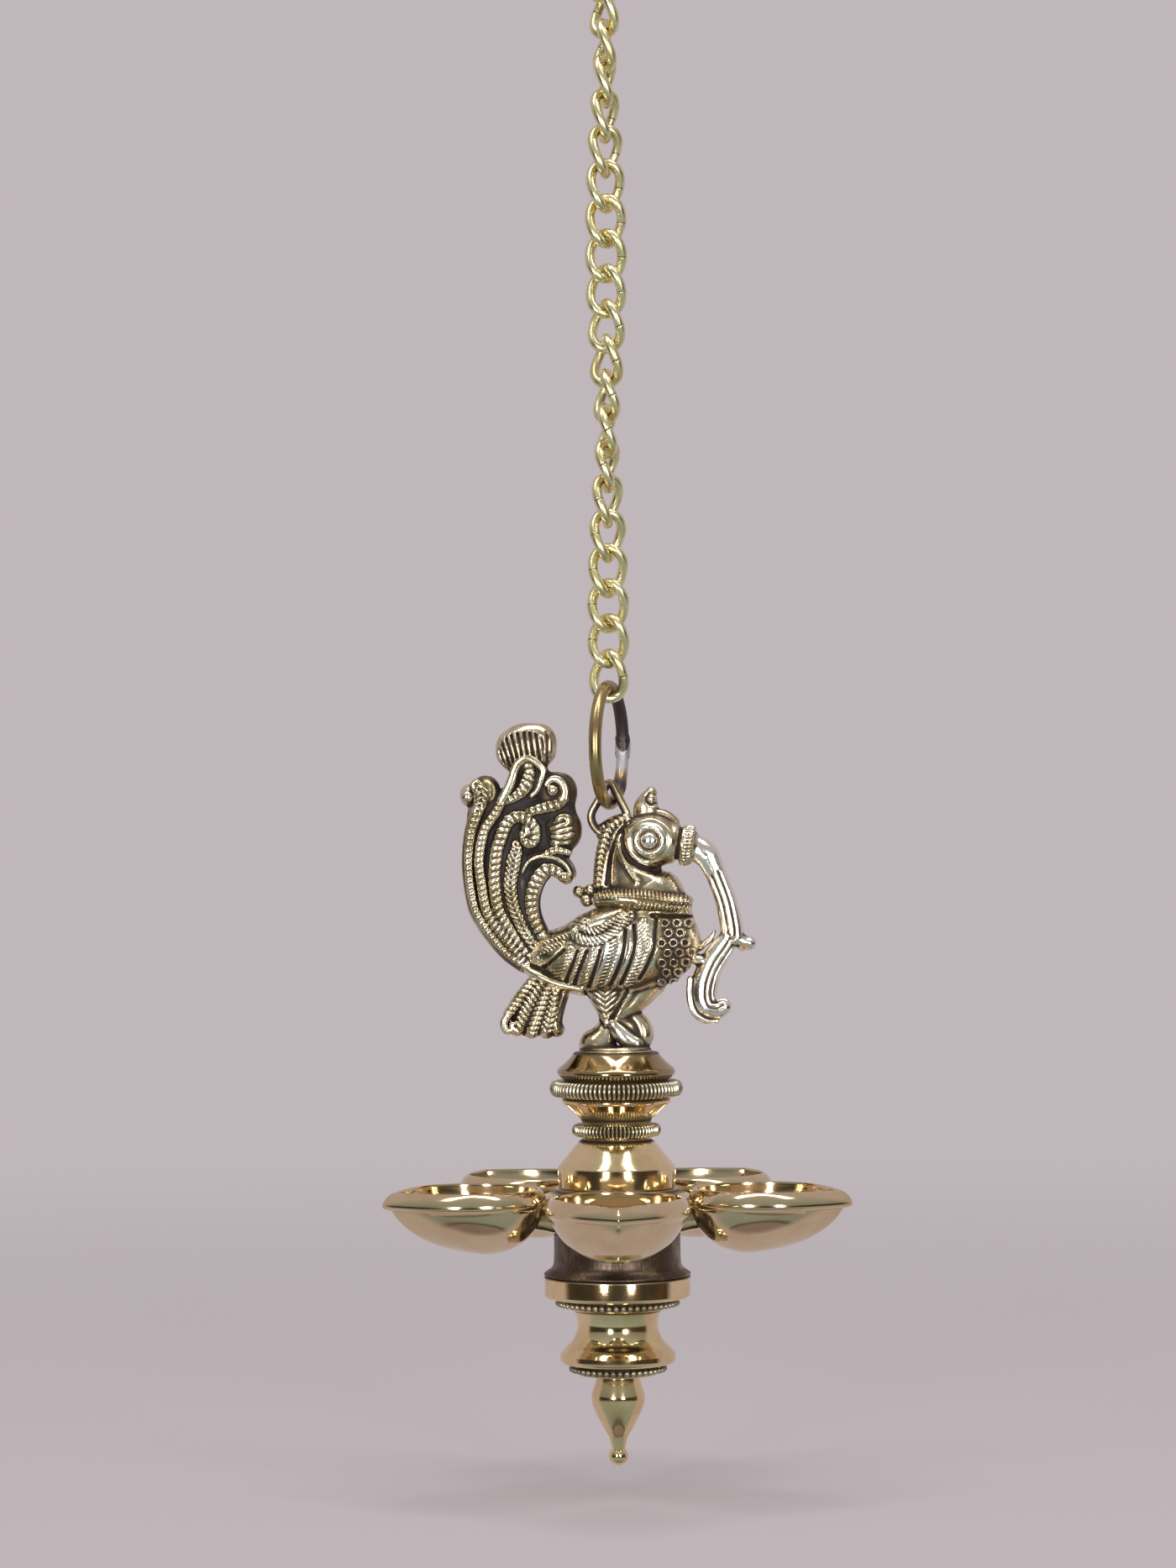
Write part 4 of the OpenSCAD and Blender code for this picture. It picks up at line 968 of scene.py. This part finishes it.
def head_casting():
    """Neck and head: eye, necklace, mane, crest and the collar of the beak."""
    block = Casting((-12, 25), 10.6, (32, 72.5), HEAD_CELL, BODY_DEEP)
    block.rib(NECK, 1)
    block.rib([[-4.2, 40.7, 2.2, 0.6], [1, 40.9, 3.3, 0.84], [8, 40.5, 3.5, 0.91],
               [14.5, 39.9, 3.3, 0.85], [18.6, 39.4, 2, 0.5]], 0.8)
    block.rib([[2, 56, 1.4, 0.2], [4.5, 56, 5.6, 0.5], [9.5, 56.5, 7.4, 0.62], [15, 56, 6.1, 0.55],
               [18.5, 55, 5, 0.48]], 0.6)
    block.rib([[-1, 58, 2.2, 0.24], [-2.2, 52, 2.4, 0.26], [-2.4, 45, 2.6, 0.32]], 0.4)
    block.rib([[6, 49, 4.4, 0.55], [10.6, 44.6, 4.4, 0.66], [15, 41.2, 3.4, 0.6],
               [17.6, 39.8, 2.4, 0.46]], 1.2)
    gx, gz = block.flat()
    # eye: a dome within two ridges
    r = np.hypot(gx - BIRD_EYE[0], gz - BIRD_EYE[1])
    dome = np.sqrt(np.maximum(0, 1 - (r / 2.2) ** 2))
    relief = 0.9 * dome + 0.4 * fade(r - 3.7, 0.6) + 0.3 * fade(r - 5.8, 0.7) - 0.25 * fade(r - 2.6, 0.45)
    block.emboss(relief, 1, 4)
    # hollow under the jaw, a ridge down the neck and a groove beside the mane
    score(block, [[2.4, 58.5], [2.3, 56], [3.1, 53.2], [5.2, 50.7], [8.2, 49], [11.2, 48.3]], 1.5, 0.85)
    ridge(block, [[1.8, 56], [2.3, 52.6], [4, 48.8], [6.2, 45.8]], 0.55, 0.8)
    score(block, [[4.2, 61.2], [1.2, 58.4], [-0.7, 52.6], [-2.1, 45]], 0.9, 0.5)
    # necklace: two twisted cords, and a knot of small lobes
    side = block.y[None, :, None]
    rope(block, [[-4.4, 42.5], [2, 42.6], [8, 42.1], [14, 41.4], [20.2, 40.6]], 1.25, 0.8, 1.05, 0.2, 0.5,
         -1, 0)
    rope(block, [[6.5, 39.2], [12, 38.5], [20.2, 37.9]], 1.15, 0.75, 1.05, -0.2, 0.5, -1, 0)
    for x, z, radius in ((-9.7, 42.9, 1.7), (-6.6, 43.3, 1.7), (-7.6, 40.6, 1.9), (-4.6, 41.4, 2.3)):
        block.knob(x, z, 0, radius, 1.5, 0.25)
    # mane down the back of the neck, scalloped
    block.rib([[3, 62.4, 1.5, 0.28], [-0.8, 60, 1.8, 0.3], [-2.8, 55.5, 1.7, 0.32],
               [-3.8, 50.5, 1.6, 0.33], [-4.3, 44.8, 1.5, 0.34]], 0.12, rungs(1.5, 0.7, 0.32, 0, -0.5),
              ROUND)
    # crest: a small curled flame
    block.rib([[8.6, 62, 3.7, 0.24], [8.6, 65.2, 3.4, 0.23], [9.3, 67.8, 2.5, 0.2],
               [9.9, 69.2, 1.6, 0.17]], 0.4)
    score(block, arc(10.2, 67.6, 1.45, 50, 310, 11), 1.3, 0.48)
    block.rib([[10.6, 63.6, 1.5, 0.2], [13.4, 63.4, 1.3, 0.2], [15.8, 62, 1.1, 0.2],
               [17.4, 60.4, 0.9, 0.2]], 0.3)
    # seat of the hanging eye
    block.rib([[-2.4, 58.5, 2.6, 0.26], [0.4, 60.6, 2.6, 0.26], [3, 62.6, 1.6, 0.2]], 0.3,
              rungs(1.2, 0.4, 0.25))
    block.rib([[-2.8, 59.2, 2.2, 0.18], [-0.4, 60.4, 2.4, 0.2], [2.4, 61.2, 2.2, 0.18]], 0.5)
    # corded collar round the beak, with a dark groove behind it
    lean = (gx - BEAK[0]) * 0.985 - (gz - BEAK[1]) * 0.15
    across = (gz - BEAK[1]) * 0.99
    block.solid -= (1.2 * fade(lean + 2.3, 0.5) * share((gz - 47) / 2))[:, None, :]
    ring = np.sqrt(across[:, None, :] ** 2 + side ** 2)
    turn = np.degrees(np.arctan2(side, across[:, None, :]))
    cords = fade(from_nearest(turn, BEAK_CORD), 2.4)
    swell = np.sqrt(np.maximum(0, 1 - (lean / 1.75) ** 2))[:, None, :]
    block.unite(np.minimum(4.4 + 1.0 * swell - ring - 0.5 * cords, 1.65 - np.abs(lean)[:, None, :]), 0.15)
    return block


def from_eye(points):
    """Distance from the bird's eye in its plane."""
    return np.hypot(points[:, 0] - BIRD_EYE[0], points[:, 2] - BIRD_EYE[1])


def head_dirt(points):
    """Rubbed clean round the eye."""
    return -0.3 * np.exp(-(from_eye(points) / 6) ** 4)


def head_shine(points):
    """Brightest at the eye."""
    return 0.8 * fade(from_eye(points), 4.5)


STEM = [[21.5, 54.2, 3.4, 0.98], [23, 53.6, 3.6, 1.03], [24.9, 51.8, 3.4, 1.03], [26.4, 48.8, 2.8, 0.97],
        [28.2, 44.4, 2.75, 0.95], [29.8, 39.8, 2.9, 0.95], [31, 34, 3.1, 0.95], [31.3, 31, 3, 0.92]]
STEM_LOWER = [[30.6, 30.6, 2.6, 0.85], [28.2, 27, 3.1, 0.92], [26, 23.8, 3.4, 0.95],
              [24.2, 19.4, 3.6, 0.98], [23.6, 15.2, 3.6, 1.0], [24.6, 12, 3.1, 1.0],
              [27, 11.2, 2.7, 0.98], [28.7, 12, 2.4, 0.92]]


def stem_casting():
    """Stem that hangs from the beak, with its bud and small leaves."""
    block = Casting((17, 40.5), 4.8, (5, 60), CELL, STEM_DEEP)
    block.rib([[18.5, 54.8, 3.4, 0.9], [22, 54.4, 3.2, 0.85]], 0.2)
    block.rib(STEM[:4], 0.3, bar=ROUND)
    block.rib(STEM[2:], 0.3, flutes((-1.0, 1.0), 0.5, 0.42), ROUND)
    block.rib(STEM_LOWER, 0.3, flutes((0.4, 1.9), 0.45, 0.34), ROUND)
    block.rib([[20, 19.5, 0.8, 0.8], [19.8, 14.6, 0.85, 0.85], [21, 10.6, 0.85, 0.85],
               [24, 8.4, 0.85, 0.8], [27, 8.2, 0.7, 0.7]], 0.12, bar=ROUND)
    block.rib([[31.6, 31, 2.4, 0.8], [33.8, 29.6, 1.9, 0.7], [35.4, 29, 1.7, 0.6]], 0.4)
    block.knob(35.9, 28.9, 0, 1.95)
    block.knob(34, 28.2, 0, 1.5)
    block.rib([[20.5, 25, 1.6, 0.8], [25.5, 23.8, 1.8, 0.8]], 0.4)
    block.rib([[23.4, 28.6, 1.0, 0.6], [25.4, 30.2, 0.9, 0.55], [26.6, 32.2, 0.5, 0.4]], 0.3)
    return block


# Hanging eye: a pointed band that the ring hangs in
EYE_LINE = [[0, -246.4], [1.3, -248.5], [2.9, -251.6], [4.2, -254.4], [4.3, -256.6], [2.6, -258.6],
            [0, -259.2], [-2.6, -258.4], [-4.2, -256.2], [-4.3, -254], [-2.9, -251.4], [-1.3, -248.5]]
EYE_SIDES, EYE_STEPS, EYE_THICK, EYE_DEEP = 20, 8, 1.1, 1.9


def hanging_eye():
    """The band bent round its outline, and painted shade on its inner side."""
    loop = np.array(EYE_LINE)
    line = smooth_line(np.concatenate([loop[-2:], loop, loop[:3]]), EYE_STEPS)
    line = line[2 * EYE_STEPS:(2 + len(loop)) * EYE_STEPS]
    ahead = unit(np.roll(line, -1, 0) - np.roll(line, 1, 0))
    out = np.stack([-ahead[:, 1], ahead[:, 0]], 1)
    a = TAU * np.arange(EYE_SIDES) / EYE_SIDES
    across = 0.48 + EYE_THICK * signed_power(np.cos(a), 0.7)
    points = np.zeros((len(line), EYE_SIDES, 3))
    points[:, :, 0] = line[:, :1] + out[:, :1] * across
    points[:, :, 1] = EYE_DEEP * signed_power(np.sin(a), 0.55)
    points[:, :, 2] = line[:, 1:] + out[:, 1:] * across
    # painted shade on the inner side of the band; the casting's usual grime on the outer side
    darkening = np.tile(np.where(across < 0, 0.9, 0.36), len(line))
    return (turned(points.reshape(-1, 3), BIRD_TURN), grid_faces(len(line), EYE_SIDES, True, True)), darkening


# Turned pieces, in the lamp's frame; edges sharper than a crease's angle stay crisp
TURNED_CREASE, ROW_CREASE, TRAY_CREASE = 32, 60, 40
RIB_STEPS = 8
PEDESTAL = [(0, 0), (15.2, 0), (15.7, 0.15, 0.3), (15.75, 5.6, 0.35), (13.2, 8.6, 1.2), (10.4, 12.1, 0.7),
            (9.3, 12.9, 0.4), (9.0, 14, 0.3), (9.0, 17, 0.3), (9.4, 18, 0.4), (9.6, 18.4, 0.3),
            (14.6, 22.8, 0.7), (14.7, 23.5, 0.3), (13.6, 24.1, 0.3), (13.6, 28.6, 0.3), (15.0, 29.6, 0.3),
            (15.9, 30.6, 0.5), (15.7, 31.7, 0.5), (13.4, 33.6, 1.8), (11.9, 35.2, 0.8), (11.2, 36.2, 0.3),
            (0, 36.2)]


def ribbed_ring(radius, height, middle, count, depth):
    """A ring of small upright ribs, rounded over."""
    half = height / 2
    a = np.radians(np.linspace(-84, 84, 15))
    outline = np.stack([radius - half * 0.75 + half * 0.75 * np.cos(a), middle + half * np.sin(a)], 1)
    outline = np.concatenate([[[0, middle - half]], outline, [[0, middle + half]]])

    def swell(body, turn):
        wave = np.abs(np.sin(count * turn / 2))
        return -depth * (1 - wave)[None, :] * np.ones((len(body), 1))
    shape = lathe(outline, count * RIB_STEPS, swell)
    points = shape[0]
    wave = np.abs(np.sin(count * np.arctan2(points[:, 1], points[:, 0]) / 2))
    return shape, share(1.7 - wave * 2.0)


def bead_row(radius, z, bead, count):
    """Beads set side by side round the axis."""
    turn = TAU * (np.arange(count) + 0.5) / count
    return gather([ball((radius * math.cos(t), radius * math.sin(t), z), bead) for t in turn])


def dirt_at(points, levels, reach=0.5):
    """Dirt that lies in the grooves at these heights."""
    darkening = np.zeros(len(points))
    for z in levels:
        darkening += fade(points[:, 2] - z, reach)
    return share(darkening)


def turned_piece(name, outline, finish, node, grooves=(), reach=0.5, dull_from=math.inf):
    """A piece from the lathe, with dirt in its grooves and tarnish above a height."""
    points, faces = lathe(outline)
    marks = {"grime": dirt_at(points, grooves, reach), "tarnish": 0.8 * (points[:, 2] > dull_from)}
    piece(name, in_lamp((points, faces)), finish, "lamp", [node], marks, TURNED_CREASE)


def row_piece(name, shape, finish, node, grime):
    """A ribbed ring or a row of beads."""
    piece(name, in_lamp(shape), finish, "lamp", [node], {"grime": grime}, ROW_CREASE)


COLLAR = [(0, -12.05), (16.6, -12.05), (16.9, -12.3, 0.2), (16.9, -18.6, 2.4), (17.2, -21.2, 1.2),
          (19.3, -22.6, 0.6), (19.6, -22.8, 0.2), (19.6, -23.2, 0.15), (19.2, -23.35), (0, -23.35)]
FLANGE = [(0, -23.45), (19.2, -23.45), (19.6, -23.8, 0.3), (19.6, -28.7, 0.5), (19.0, -29.2, 0.3),
          (16.3, -29.3, 0.3), (14.4, -29.8, 0.3), (14.2, -31.4, 0.3), (13.4, -32.3, 0.3), (0, -32.3)]
SPOOL_FOOT = [(15.5, -46.0, 0.5), (14.9, -46.8, 0.4), (13.0, -46.9, 0.3), (10.9, -47.4, 0.3),
              (10.8, -49.2, 0.3), (10.6, -49.9, 0.3), (0, -49.9)]


def spool_outline():
    """Waisted spool over its foot."""
    waist = smooth_line([[11.8, -32.5], [11.0, -35.0], [10.9, -37.6], [12.1, -40.6], [14.3, -42.9],
                         [15.5, -44.4]], 7)
    head = [(0, -32.45), (11.4, -32.45)]
    return rounded(head + [tuple(p) for p in waist] + SPOOL_FOOT)


def finial_outline():
    """Drop-shaped finial with a small ball at its tip."""
    line = smooth_line([[5.7, -50.1], [5.9, -51.2], [6.9, -54.4], [7.2, -56.2], [6.6, -59.0], [4.6, -63.2],
                        [2.6, -66.6], [1.95, -69.0]], 7)
    tip = arc(0, -71.8, 2.6, 48, -86, 16)
    return np.concatenate([[[0, -50.05], [5.5, -50.05]], line, tip, [[0, -74.4]]])


# Oil bowls
BOWLS = 5
BOWL_TIP, BOWL_MID, BOWL_HALF, BOWL_DEPTH = 65.0, 39.5, 19.0, 17.5
BOWL_RIM, BOWL_BACK, BOWL_DROOP, BOWL_WALL, BOWL_FLOOR = 1.0, 2.5, 0.4, 2.65, 1.6
BOWL_SKIN, BOWL_STEPS, BOWL_SIDES = 0.7, 24, 160
# inset and drop from the rim's top, up the outside of the lip and over it
BOWL_LIP = ((1.1, 4.95), (0.75, 4.75), (0.35, 4.5), (0.08, 4.15), (0, 3.7), (0.08, 3.1), (0.3, 2.35),
            (0.65, 1.6), (1.1, 0.9), (1.6, 0.38), (2.0, 0.1), (2.3, 0), (2.5, 0.12), (2.6, 0.45),
            (2.62, 0.9))
NECK_SIDES = 40
# distance from the axis, half width, top and underside along a neck
NECK_STATIONS = [[12.5, 8.2, -0.4, -11.8], [16.5, 7.8, -0.7, -11.7], [19.5, 7.2, -1.4, -11.2],
                 [22.5, 7.4, -1.4, -10.6], [26, 8.4, -0.6, -10.2]]
HUB = [(0, -0.05), (16.4, -0.05), (16.9, -0.2, 0.4), (16.9, -11.7, 0.4), (16.4, -11.95), (0, -11.95)]


def bowl_ring(inset, down, back):
    """One level of a bowl's outline, pointed outwards."""
    a = TAU * np.arange(BOWL_SIDES) / BOWL_SIDES
    a = a - 0.32 * np.sin(a)
    c, s = np.cos(a), np.sin(a)
    h = BOWL_HALF - inset
    reach = BOWL_TIP - BOWL_MID - 1.5 * inset
    front = c > 0
    x = BOWL_MID + np.where(front, reach * (1 - np.maximum(1 - c, 0) ** 0.9), h * c)
    y = h * np.where(front, signed_power(s, 1 + 0.55 * np.maximum(c, 0)), s)
    outward = share((x - BOWL_MID - 8) / (BOWL_TIP - BOWL_MID - 8))
    droop = BOWL_DROOP * outward * share(1 - down / 5)
    return np.stack([x - back, y, BOWL_RIM - down - droop], 1)


def bowl_side(start, end, wall, fall):
    """Levels of a bowl's outer or inner side between two angles."""
    return [(wall + (BOWL_HALF - wall) * (1 - math.cos(a)), 1 + fall * math.sin(a), BOWL_BACK * math.sin(a))
            for a in np.radians(np.linspace(start, end, BOWL_STEPS))]


def bowl():
    """One bowl: up its outer side, over its lip and down its inner side."""
    rows = bowl_side(86, 15, BOWL_SKIN, BOWL_DEPTH - 1)
    rows += [(inset, down, 0) for inset, down in BOWL_LIP]
    rows += bowl_side(4, 86, BOWL_WALL, BOWL_DEPTH - 1 - BOWL_FLOOR)
    rings = np.array([bowl_ring(*row) for row in rows])
    m, n = rings.shape[:2]
    ends = [rings[0].mean(0), rings[-1].mean(0)]
    ends[0][2], ends[1][2] = BOWL_RIM - BOWL_DEPTH, BOWL_RIM - BOWL_DEPTH + BOWL_FLOOR
    faces = [f[::-1] for f in grid_faces(m, n, False, True)]
    low, high = m * n, m * n + 1
    for j in range(n):
        k = (j + 1) % n
        faces += [[low, k, j], [high, (m - 1) * n + j, (m - 1) * n + k]]
    return np.concatenate([rings.reshape(-1, 3), ends]), faces


def bowl_neck():
    """Short waisted arm from the hub to a bowl."""
    a = TAU * np.arange(NECK_SIDES) / NECK_SIDES
    across, up = signed_power(np.cos(a), 0.5), signed_power(np.sin(a), 0.5)
    rows = []
    for x, half, top, low in smooth_line(NECK_STATIONS, 5):
        height = (top + low) / 2 + (top - low) / 2 * up
        rows.append(np.stack([np.full(NECK_SIDES, x), half * across, height], 1))
    n = len(rows)
    faces = grid_faces(n, NECK_SIDES, False, True)
    faces += [list(range(NECK_SIDES))[::-1], [(n - 1) * NECK_SIDES + j for j in range(NECK_SIDES)]]
    return np.concatenate(rows), faces


def bowl_tray():
    """The hub with its bowls and necks round it, the first bowl in front."""
    parts, one, neck = [lathe(rounded(HUB), BOWL_SIDES)], bowl(), bowl_neck()
    for i in range(BOWLS):
        turn = math.radians(-90 + 360 / BOWLS * i)
        parts += [(turned(points, turn), faces) for points, faces in (one, neck)]
    return gather(parts)


def tray_painted_shade(points):
    """Painted shade round the hub, where the necks leave it."""
    return 0.7 * fade(np.hypot(points[:, 0], points[:, 1]) - 17.3, 1.6)


FINISH = {
    "chain": chain_finish(), "ring": ring_finish(), "solder": solder_finish(), "casting": casting_finish(),
    "turned": turned_finish("turned_polished_brass", rgb(0.84, 0.66, 0.38), rgb(0.70, 0.51, 0.27), 0.10),
    "bowls": turned_finish("bowl_polished_brass", rgb(0.73, 0.58, 0.37), rgb(0.65, 0.49, 0.29), 0.11, 0.2),
    "ribs": turned_finish("ribbed_brass", rgb(0.62, 0.55, 0.41), rgb(0.40, 0.34, 0.23), 0.24),
    "collar": collar_finish(), "rod": rod_finish(),
}

piece("hook_wire", hook_wire(), FINISH["chain"], "hook", ["ceiling_hook"])
for k in range(1, LINKS + 1):
    wire, cut = link_wire(k)
    piece(f"chain_link_{k:02d}", wire, FINISH["chain"], f"link_{k:02d}", [f"link_{k:02d}"],
          {"cut": cut})
ring, ring_marks = ring_wire()
piece("ring_wire", ring, FINISH["ring"], "ring", ["suspension_ring"], ring_marks)
joint, joint_marks = ring_solder()
piece("ring_joint", joint, FINISH["solder"], "ring", ["ring_solder"], joint_marks)
eye, eye_shade_and_grime = hanging_eye()
piece("eye_band", eye, FINISH["casting"], "lamp", ["hanging_eye"],
      {"grime": eye_shade_and_grime, "shine": np.zeros(len(eye_shade_and_grime))})
bird_piece("bird_tail", tail_casting(), darkening=tail_dirt)
bird_piece("bird_under_tail", under_tail_casting(), darkening=tail_dirt)
bird_piece("bird_body", body_casting(), body_shine, body_painted_shade)
bird_piece("bird_head", head_casting(), head_shine, head_dirt)
bird_piece("bird_stem", stem_casting(), 0.9)

turned_piece("pedestal_body", rounded(PEDESTAL), FINISH["turned"], "pedestal",
             (12.7, 18.2, 24.3, 29.0, 36.2), 0.55, 29)
for name, radius, height, middle, count, depth in (("pedestal_ring_small", 11.9, 3.2, 15.4, 66, 1.15),
                                                   ("pedestal_ring_large", 17.8, 4.2, 26.5, 84, 1.05)):
    shape, grime = ribbed_ring(radius, height, middle, count, depth)
    row_piece(name, shape, FINISH["ribs"], "pedestal", grime)
tray = bowl_tray()
piece("bowl_tray_casting", in_lamp(tray), FINISH["bowls"], "lamp", ["bowl_tray"],
      {"grime": tray_painted_shade(tray[0])}, TRAY_CREASE)
turned_piece("collar_turned", rounded(COLLAR), FINISH["collar"], "stem_collar")
turned_piece("flange_turned", rounded(FLANGE), FINISH["turned"], "beaded_flange",
             (-23.4, -29.9, -31.4), 0.6)
turned_piece("spool_turned", spool_outline(), FINISH["turned"], "waisted_spool",
             (-32.4, -47.4, -49), 0.6)
turned_piece("finial_turned", finial_outline(), FINISH["turned"], "finial", (-50.2,), 0.5)
for name, radius, z, bead, count, node in (("flange_beads", 15.9, -30.75, 0.8, 53, "beaded_flange"),
                                           ("spool_beads", 12.4, -48.35, 0.78, 43, "waisted_spool")):
    row = bead_row(radius, z, bead, count)
    row_piece(name, row, FINISH["ribs"], node, np.full(len(row[0]), 0.42))
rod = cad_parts["tie_rod"]
rod.data.materials.clear()
rod.data.materials.append(FINISH["rod"])

# Studio: a pale floor that fades into a pale room, upright and overhead soft boxes
FLOOR_Z, FLOOR_R, FLOOR_SIDES = -0.4365, 1.8, 96
FADE_START, FADE_END = 0.25, 1.15
PALE, FILL = rgb(0.53, 0.475, 0.495), rgb(0.36, 0.34, 0.34)
CENTRE, SCREEN_R, SCREEN_HALF = (0, 0, -0.30), 2.4, 104
SCREEN_ACROSS, SCREEN_UP = 53, 37
# colours of the room by height, from straight down to straight up
ROOM = [(-1, (0.26, 0.21, 0.22)), (-0.91, (0.28, 0.23, 0.24)), (-0.89, (0.05, 0.04, 0.035)),
        (-0.86, (0.29, 0.35, 0.34)), (-0.32, (0.37, 0.45, 0.44)), (-0.25, (0.045, 0.044, 0.04)),
        (0.08, (0.035, 0.034, 0.03)), (0.22, (0.26, 0.29, 0.28)), (0.6, (0.39, 0.42, 0.41)),
        (0.95, (0.47, 0.48, 0.47))]
BOX_AWAY, BOX_TURN = 1.5, 21
UPRIGHT_SIZE, UPRIGHT_POWER = (0.22, 0.6), 10
OVERHEAD_SIZE, OVERHEAD_POWER = (0.16, 1.0), 5


def bare_material(name):
    """A material without nodes, and its tree."""
    material = bpy.data.materials.new(name)
    material.use_nodes = True
    material.node_tree.nodes.clear()
    return material, material.node_tree


def stage_mesh(name, points, faces, material):
    """A mesh of the studio, which isn't part of the lamp."""
    mesh = bpy.data.meshes.new(name)
    mesh.from_pydata(points, [], faces)
    mesh.materials.append(material)
    made = bpy.data.objects.new(name, mesh)
    bpy.context.collection.objects.link(made)
    return made


def studio_floor():
    """Round floor that keeps the shadow and fades out with the distance."""
    material, tree = bare_material("pale_paper")
    place = make(tree, "ShaderNodeTexCoord", out="Object")
    far = make(tree, "ShaderNodeVectorMath", {"operation": "DISTANCE"}, {0: place, 1: (0, 0, FLOOR_Z)}, 1)
    paper = make(tree, "ShaderNodeBsdfDiffuse", None, {"Color": PALE})
    glow = make(tree, "ShaderNodeEmission", None, {"Color": PALE})
    lit = make(tree, "ShaderNodeMixShader", None, {0: 0.6, 1: paper, 2: glow})
    clear = make(tree, "ShaderNodeBsdfTransparent")
    both = make(tree, "ShaderNodeMixShader", None, {0: far.between(FADE_START, FADE_END), 1: lit, 2: clear})
    make(tree, "ShaderNodeOutputMaterial", None, {"Surface": both})
    turn = TAU * np.arange(FLOOR_SIDES) / FLOOR_SIDES
    rim = [[FLOOR_R * math.cos(a), FLOOR_R * math.sin(a), FLOOR_Z] for a in turn]
    stage_mesh("studio_floor", rim, [list(range(FLOOR_SIDES))], material).visible_glossy = False


def soft_box(name, place, target, size, power):
    """An area lamp that faces a target."""
    light = bpy.data.lights.new(name, "AREA")
    light.shape, light.size, light.size_y, light.energy = "RECTANGLE", size[0], size[1], power
    made = bpy.data.objects.new(name, light)
    made.location = place
    made.rotation_euler = (Vector(target) - Vector(place)).to_track_quat("-Z", "Y").to_euler()
    bpy.context.collection.objects.link(made)


def studio_world():
    """Plain and pale, to the camera and in the metal alike; a plain fill for the rest."""
    world = bpy.data.worlds.new("studio_room")
    world.use_nodes = True
    tree = world.node_tree
    tree.nodes.clear()
    path = make(tree, "ShaderNodeLightPath", out="Is Camera Ray")
    outputs = path.socket.node.outputs
    seen = path + Shade(tree, outputs["Is Glossy Ray"]) + Shade(tree, outputs["Is Transmission Ray"])
    back = make(tree, "ShaderNodeBackground", None, {"Color": seen.between(0, 1).mix(FILL, PALE)})
    make(tree, "ShaderNodeOutputWorld", None, {"Surface": back})
    bpy.context.scene.world = world


def room_screen():
    """Half a dome behind the camera, seen in the metal alone: the dim room in front of the lamp."""
    material, tree = bare_material("dim_room")
    place = make(tree, "ShaderNodeTexCoord", out="Object")
    way = make(tree, "ShaderNodeVectorMath", {"operation": "SUBTRACT"}, {0: place, 1: CENTRE})
    parts = make(tree, "ShaderNodeSeparateXYZ", None, {0: way}).socket.node.outputs
    depth, up = Shade(tree, parts["Y"]) / SCREEN_R, Shade(tree, parts["Z"]) / SCREEN_R
    stops = [((z + 1) / 2, rgb(*colour)) for z, colour in ROOM]
    levels = make(tree, "ShaderNodeValToRGB", {"stops": stops}, {0: up * 0.5 + 0.5})
    noise = make(tree, "ShaderNodeTexNoise", None, {"Vector": way, "Scale": 2.6 / SCREEN_R, "Detail": 1.0})
    brown = noise.between(0.45, 0.6) * up.between(-0.3, -0.2) * up.between(0.05, 0.2, 1, 0)
    room = make(tree, "ShaderNodeEmission", None, {"Color": brown.mix(levels, rgb(0.10, 0.05, 0.03))})
    clear = make(tree, "ShaderNodeBsdfTransparent")
    both = make(tree, "ShaderNodeMixShader", None, {0: depth.between(-0.16, 0.10), 1: room, 2: clear})
    make(tree, "ShaderNodeOutputMaterial", None, {"Surface": both})
    across = np.radians(np.linspace(-SCREEN_HALF, SCREEN_HALF, SCREEN_ACROSS))
    across, rise = np.meshgrid(across, np.radians(np.linspace(-90, 90, SCREEN_UP)), indexing="ij")
    ways = np.stack([np.sin(across) * np.cos(rise), -np.cos(across) * np.cos(rise), np.sin(rise)], 2)
    points = (ways.reshape(-1, 3) * SCREEN_R + CENTRE).tolist()
    made = stage_mesh("room_screen", points, grid_faces(SCREEN_ACROSS, SCREEN_UP, False, False), material)
    made.visible_camera = made.visible_diffuse = made.visible_shadow = False


studio_floor()
studio_world()
room_screen()
for side, name in ((-1, "left"), (1, "right")):
    turn = math.radians(BOX_TURN * side)
    place = (BOX_AWAY * math.sin(turn), -BOX_AWAY * math.cos(turn), -0.2)
    soft_box(f"upright_box_{name}", place, CENTRE, UPRIGHT_SIZE, UPRIGHT_POWER)
    above, target = (0.28 * side, -0.25, 0.9), (0.1 * side, -0.1, -0.35)
    soft_box(f"overhead_box_{name}", above, target, OVERHEAD_SIZE, OVERHEAD_POWER)

LENS, SENSOR = 102.2, 36
CAMERA_PLACE, CAMERA_ROLL = (-0.0057, -1.19, -0.2461), 0.38
camera = bpy.data.cameras.new("photo_camera")
camera.lens, camera.sensor_width = LENS, SENSOR
camera_stand = bpy.data.objects.new("photo_camera", camera)
camera_stand.location = CAMERA_PLACE
camera_stand.rotation_euler = (math.radians(90), math.radians(CAMERA_ROLL), 0)
bpy.context.collection.objects.link(camera_stand)
bpy.context.scene.camera = camera_stand
bpy.context.scene.view_settings.view_transform = "Standard"
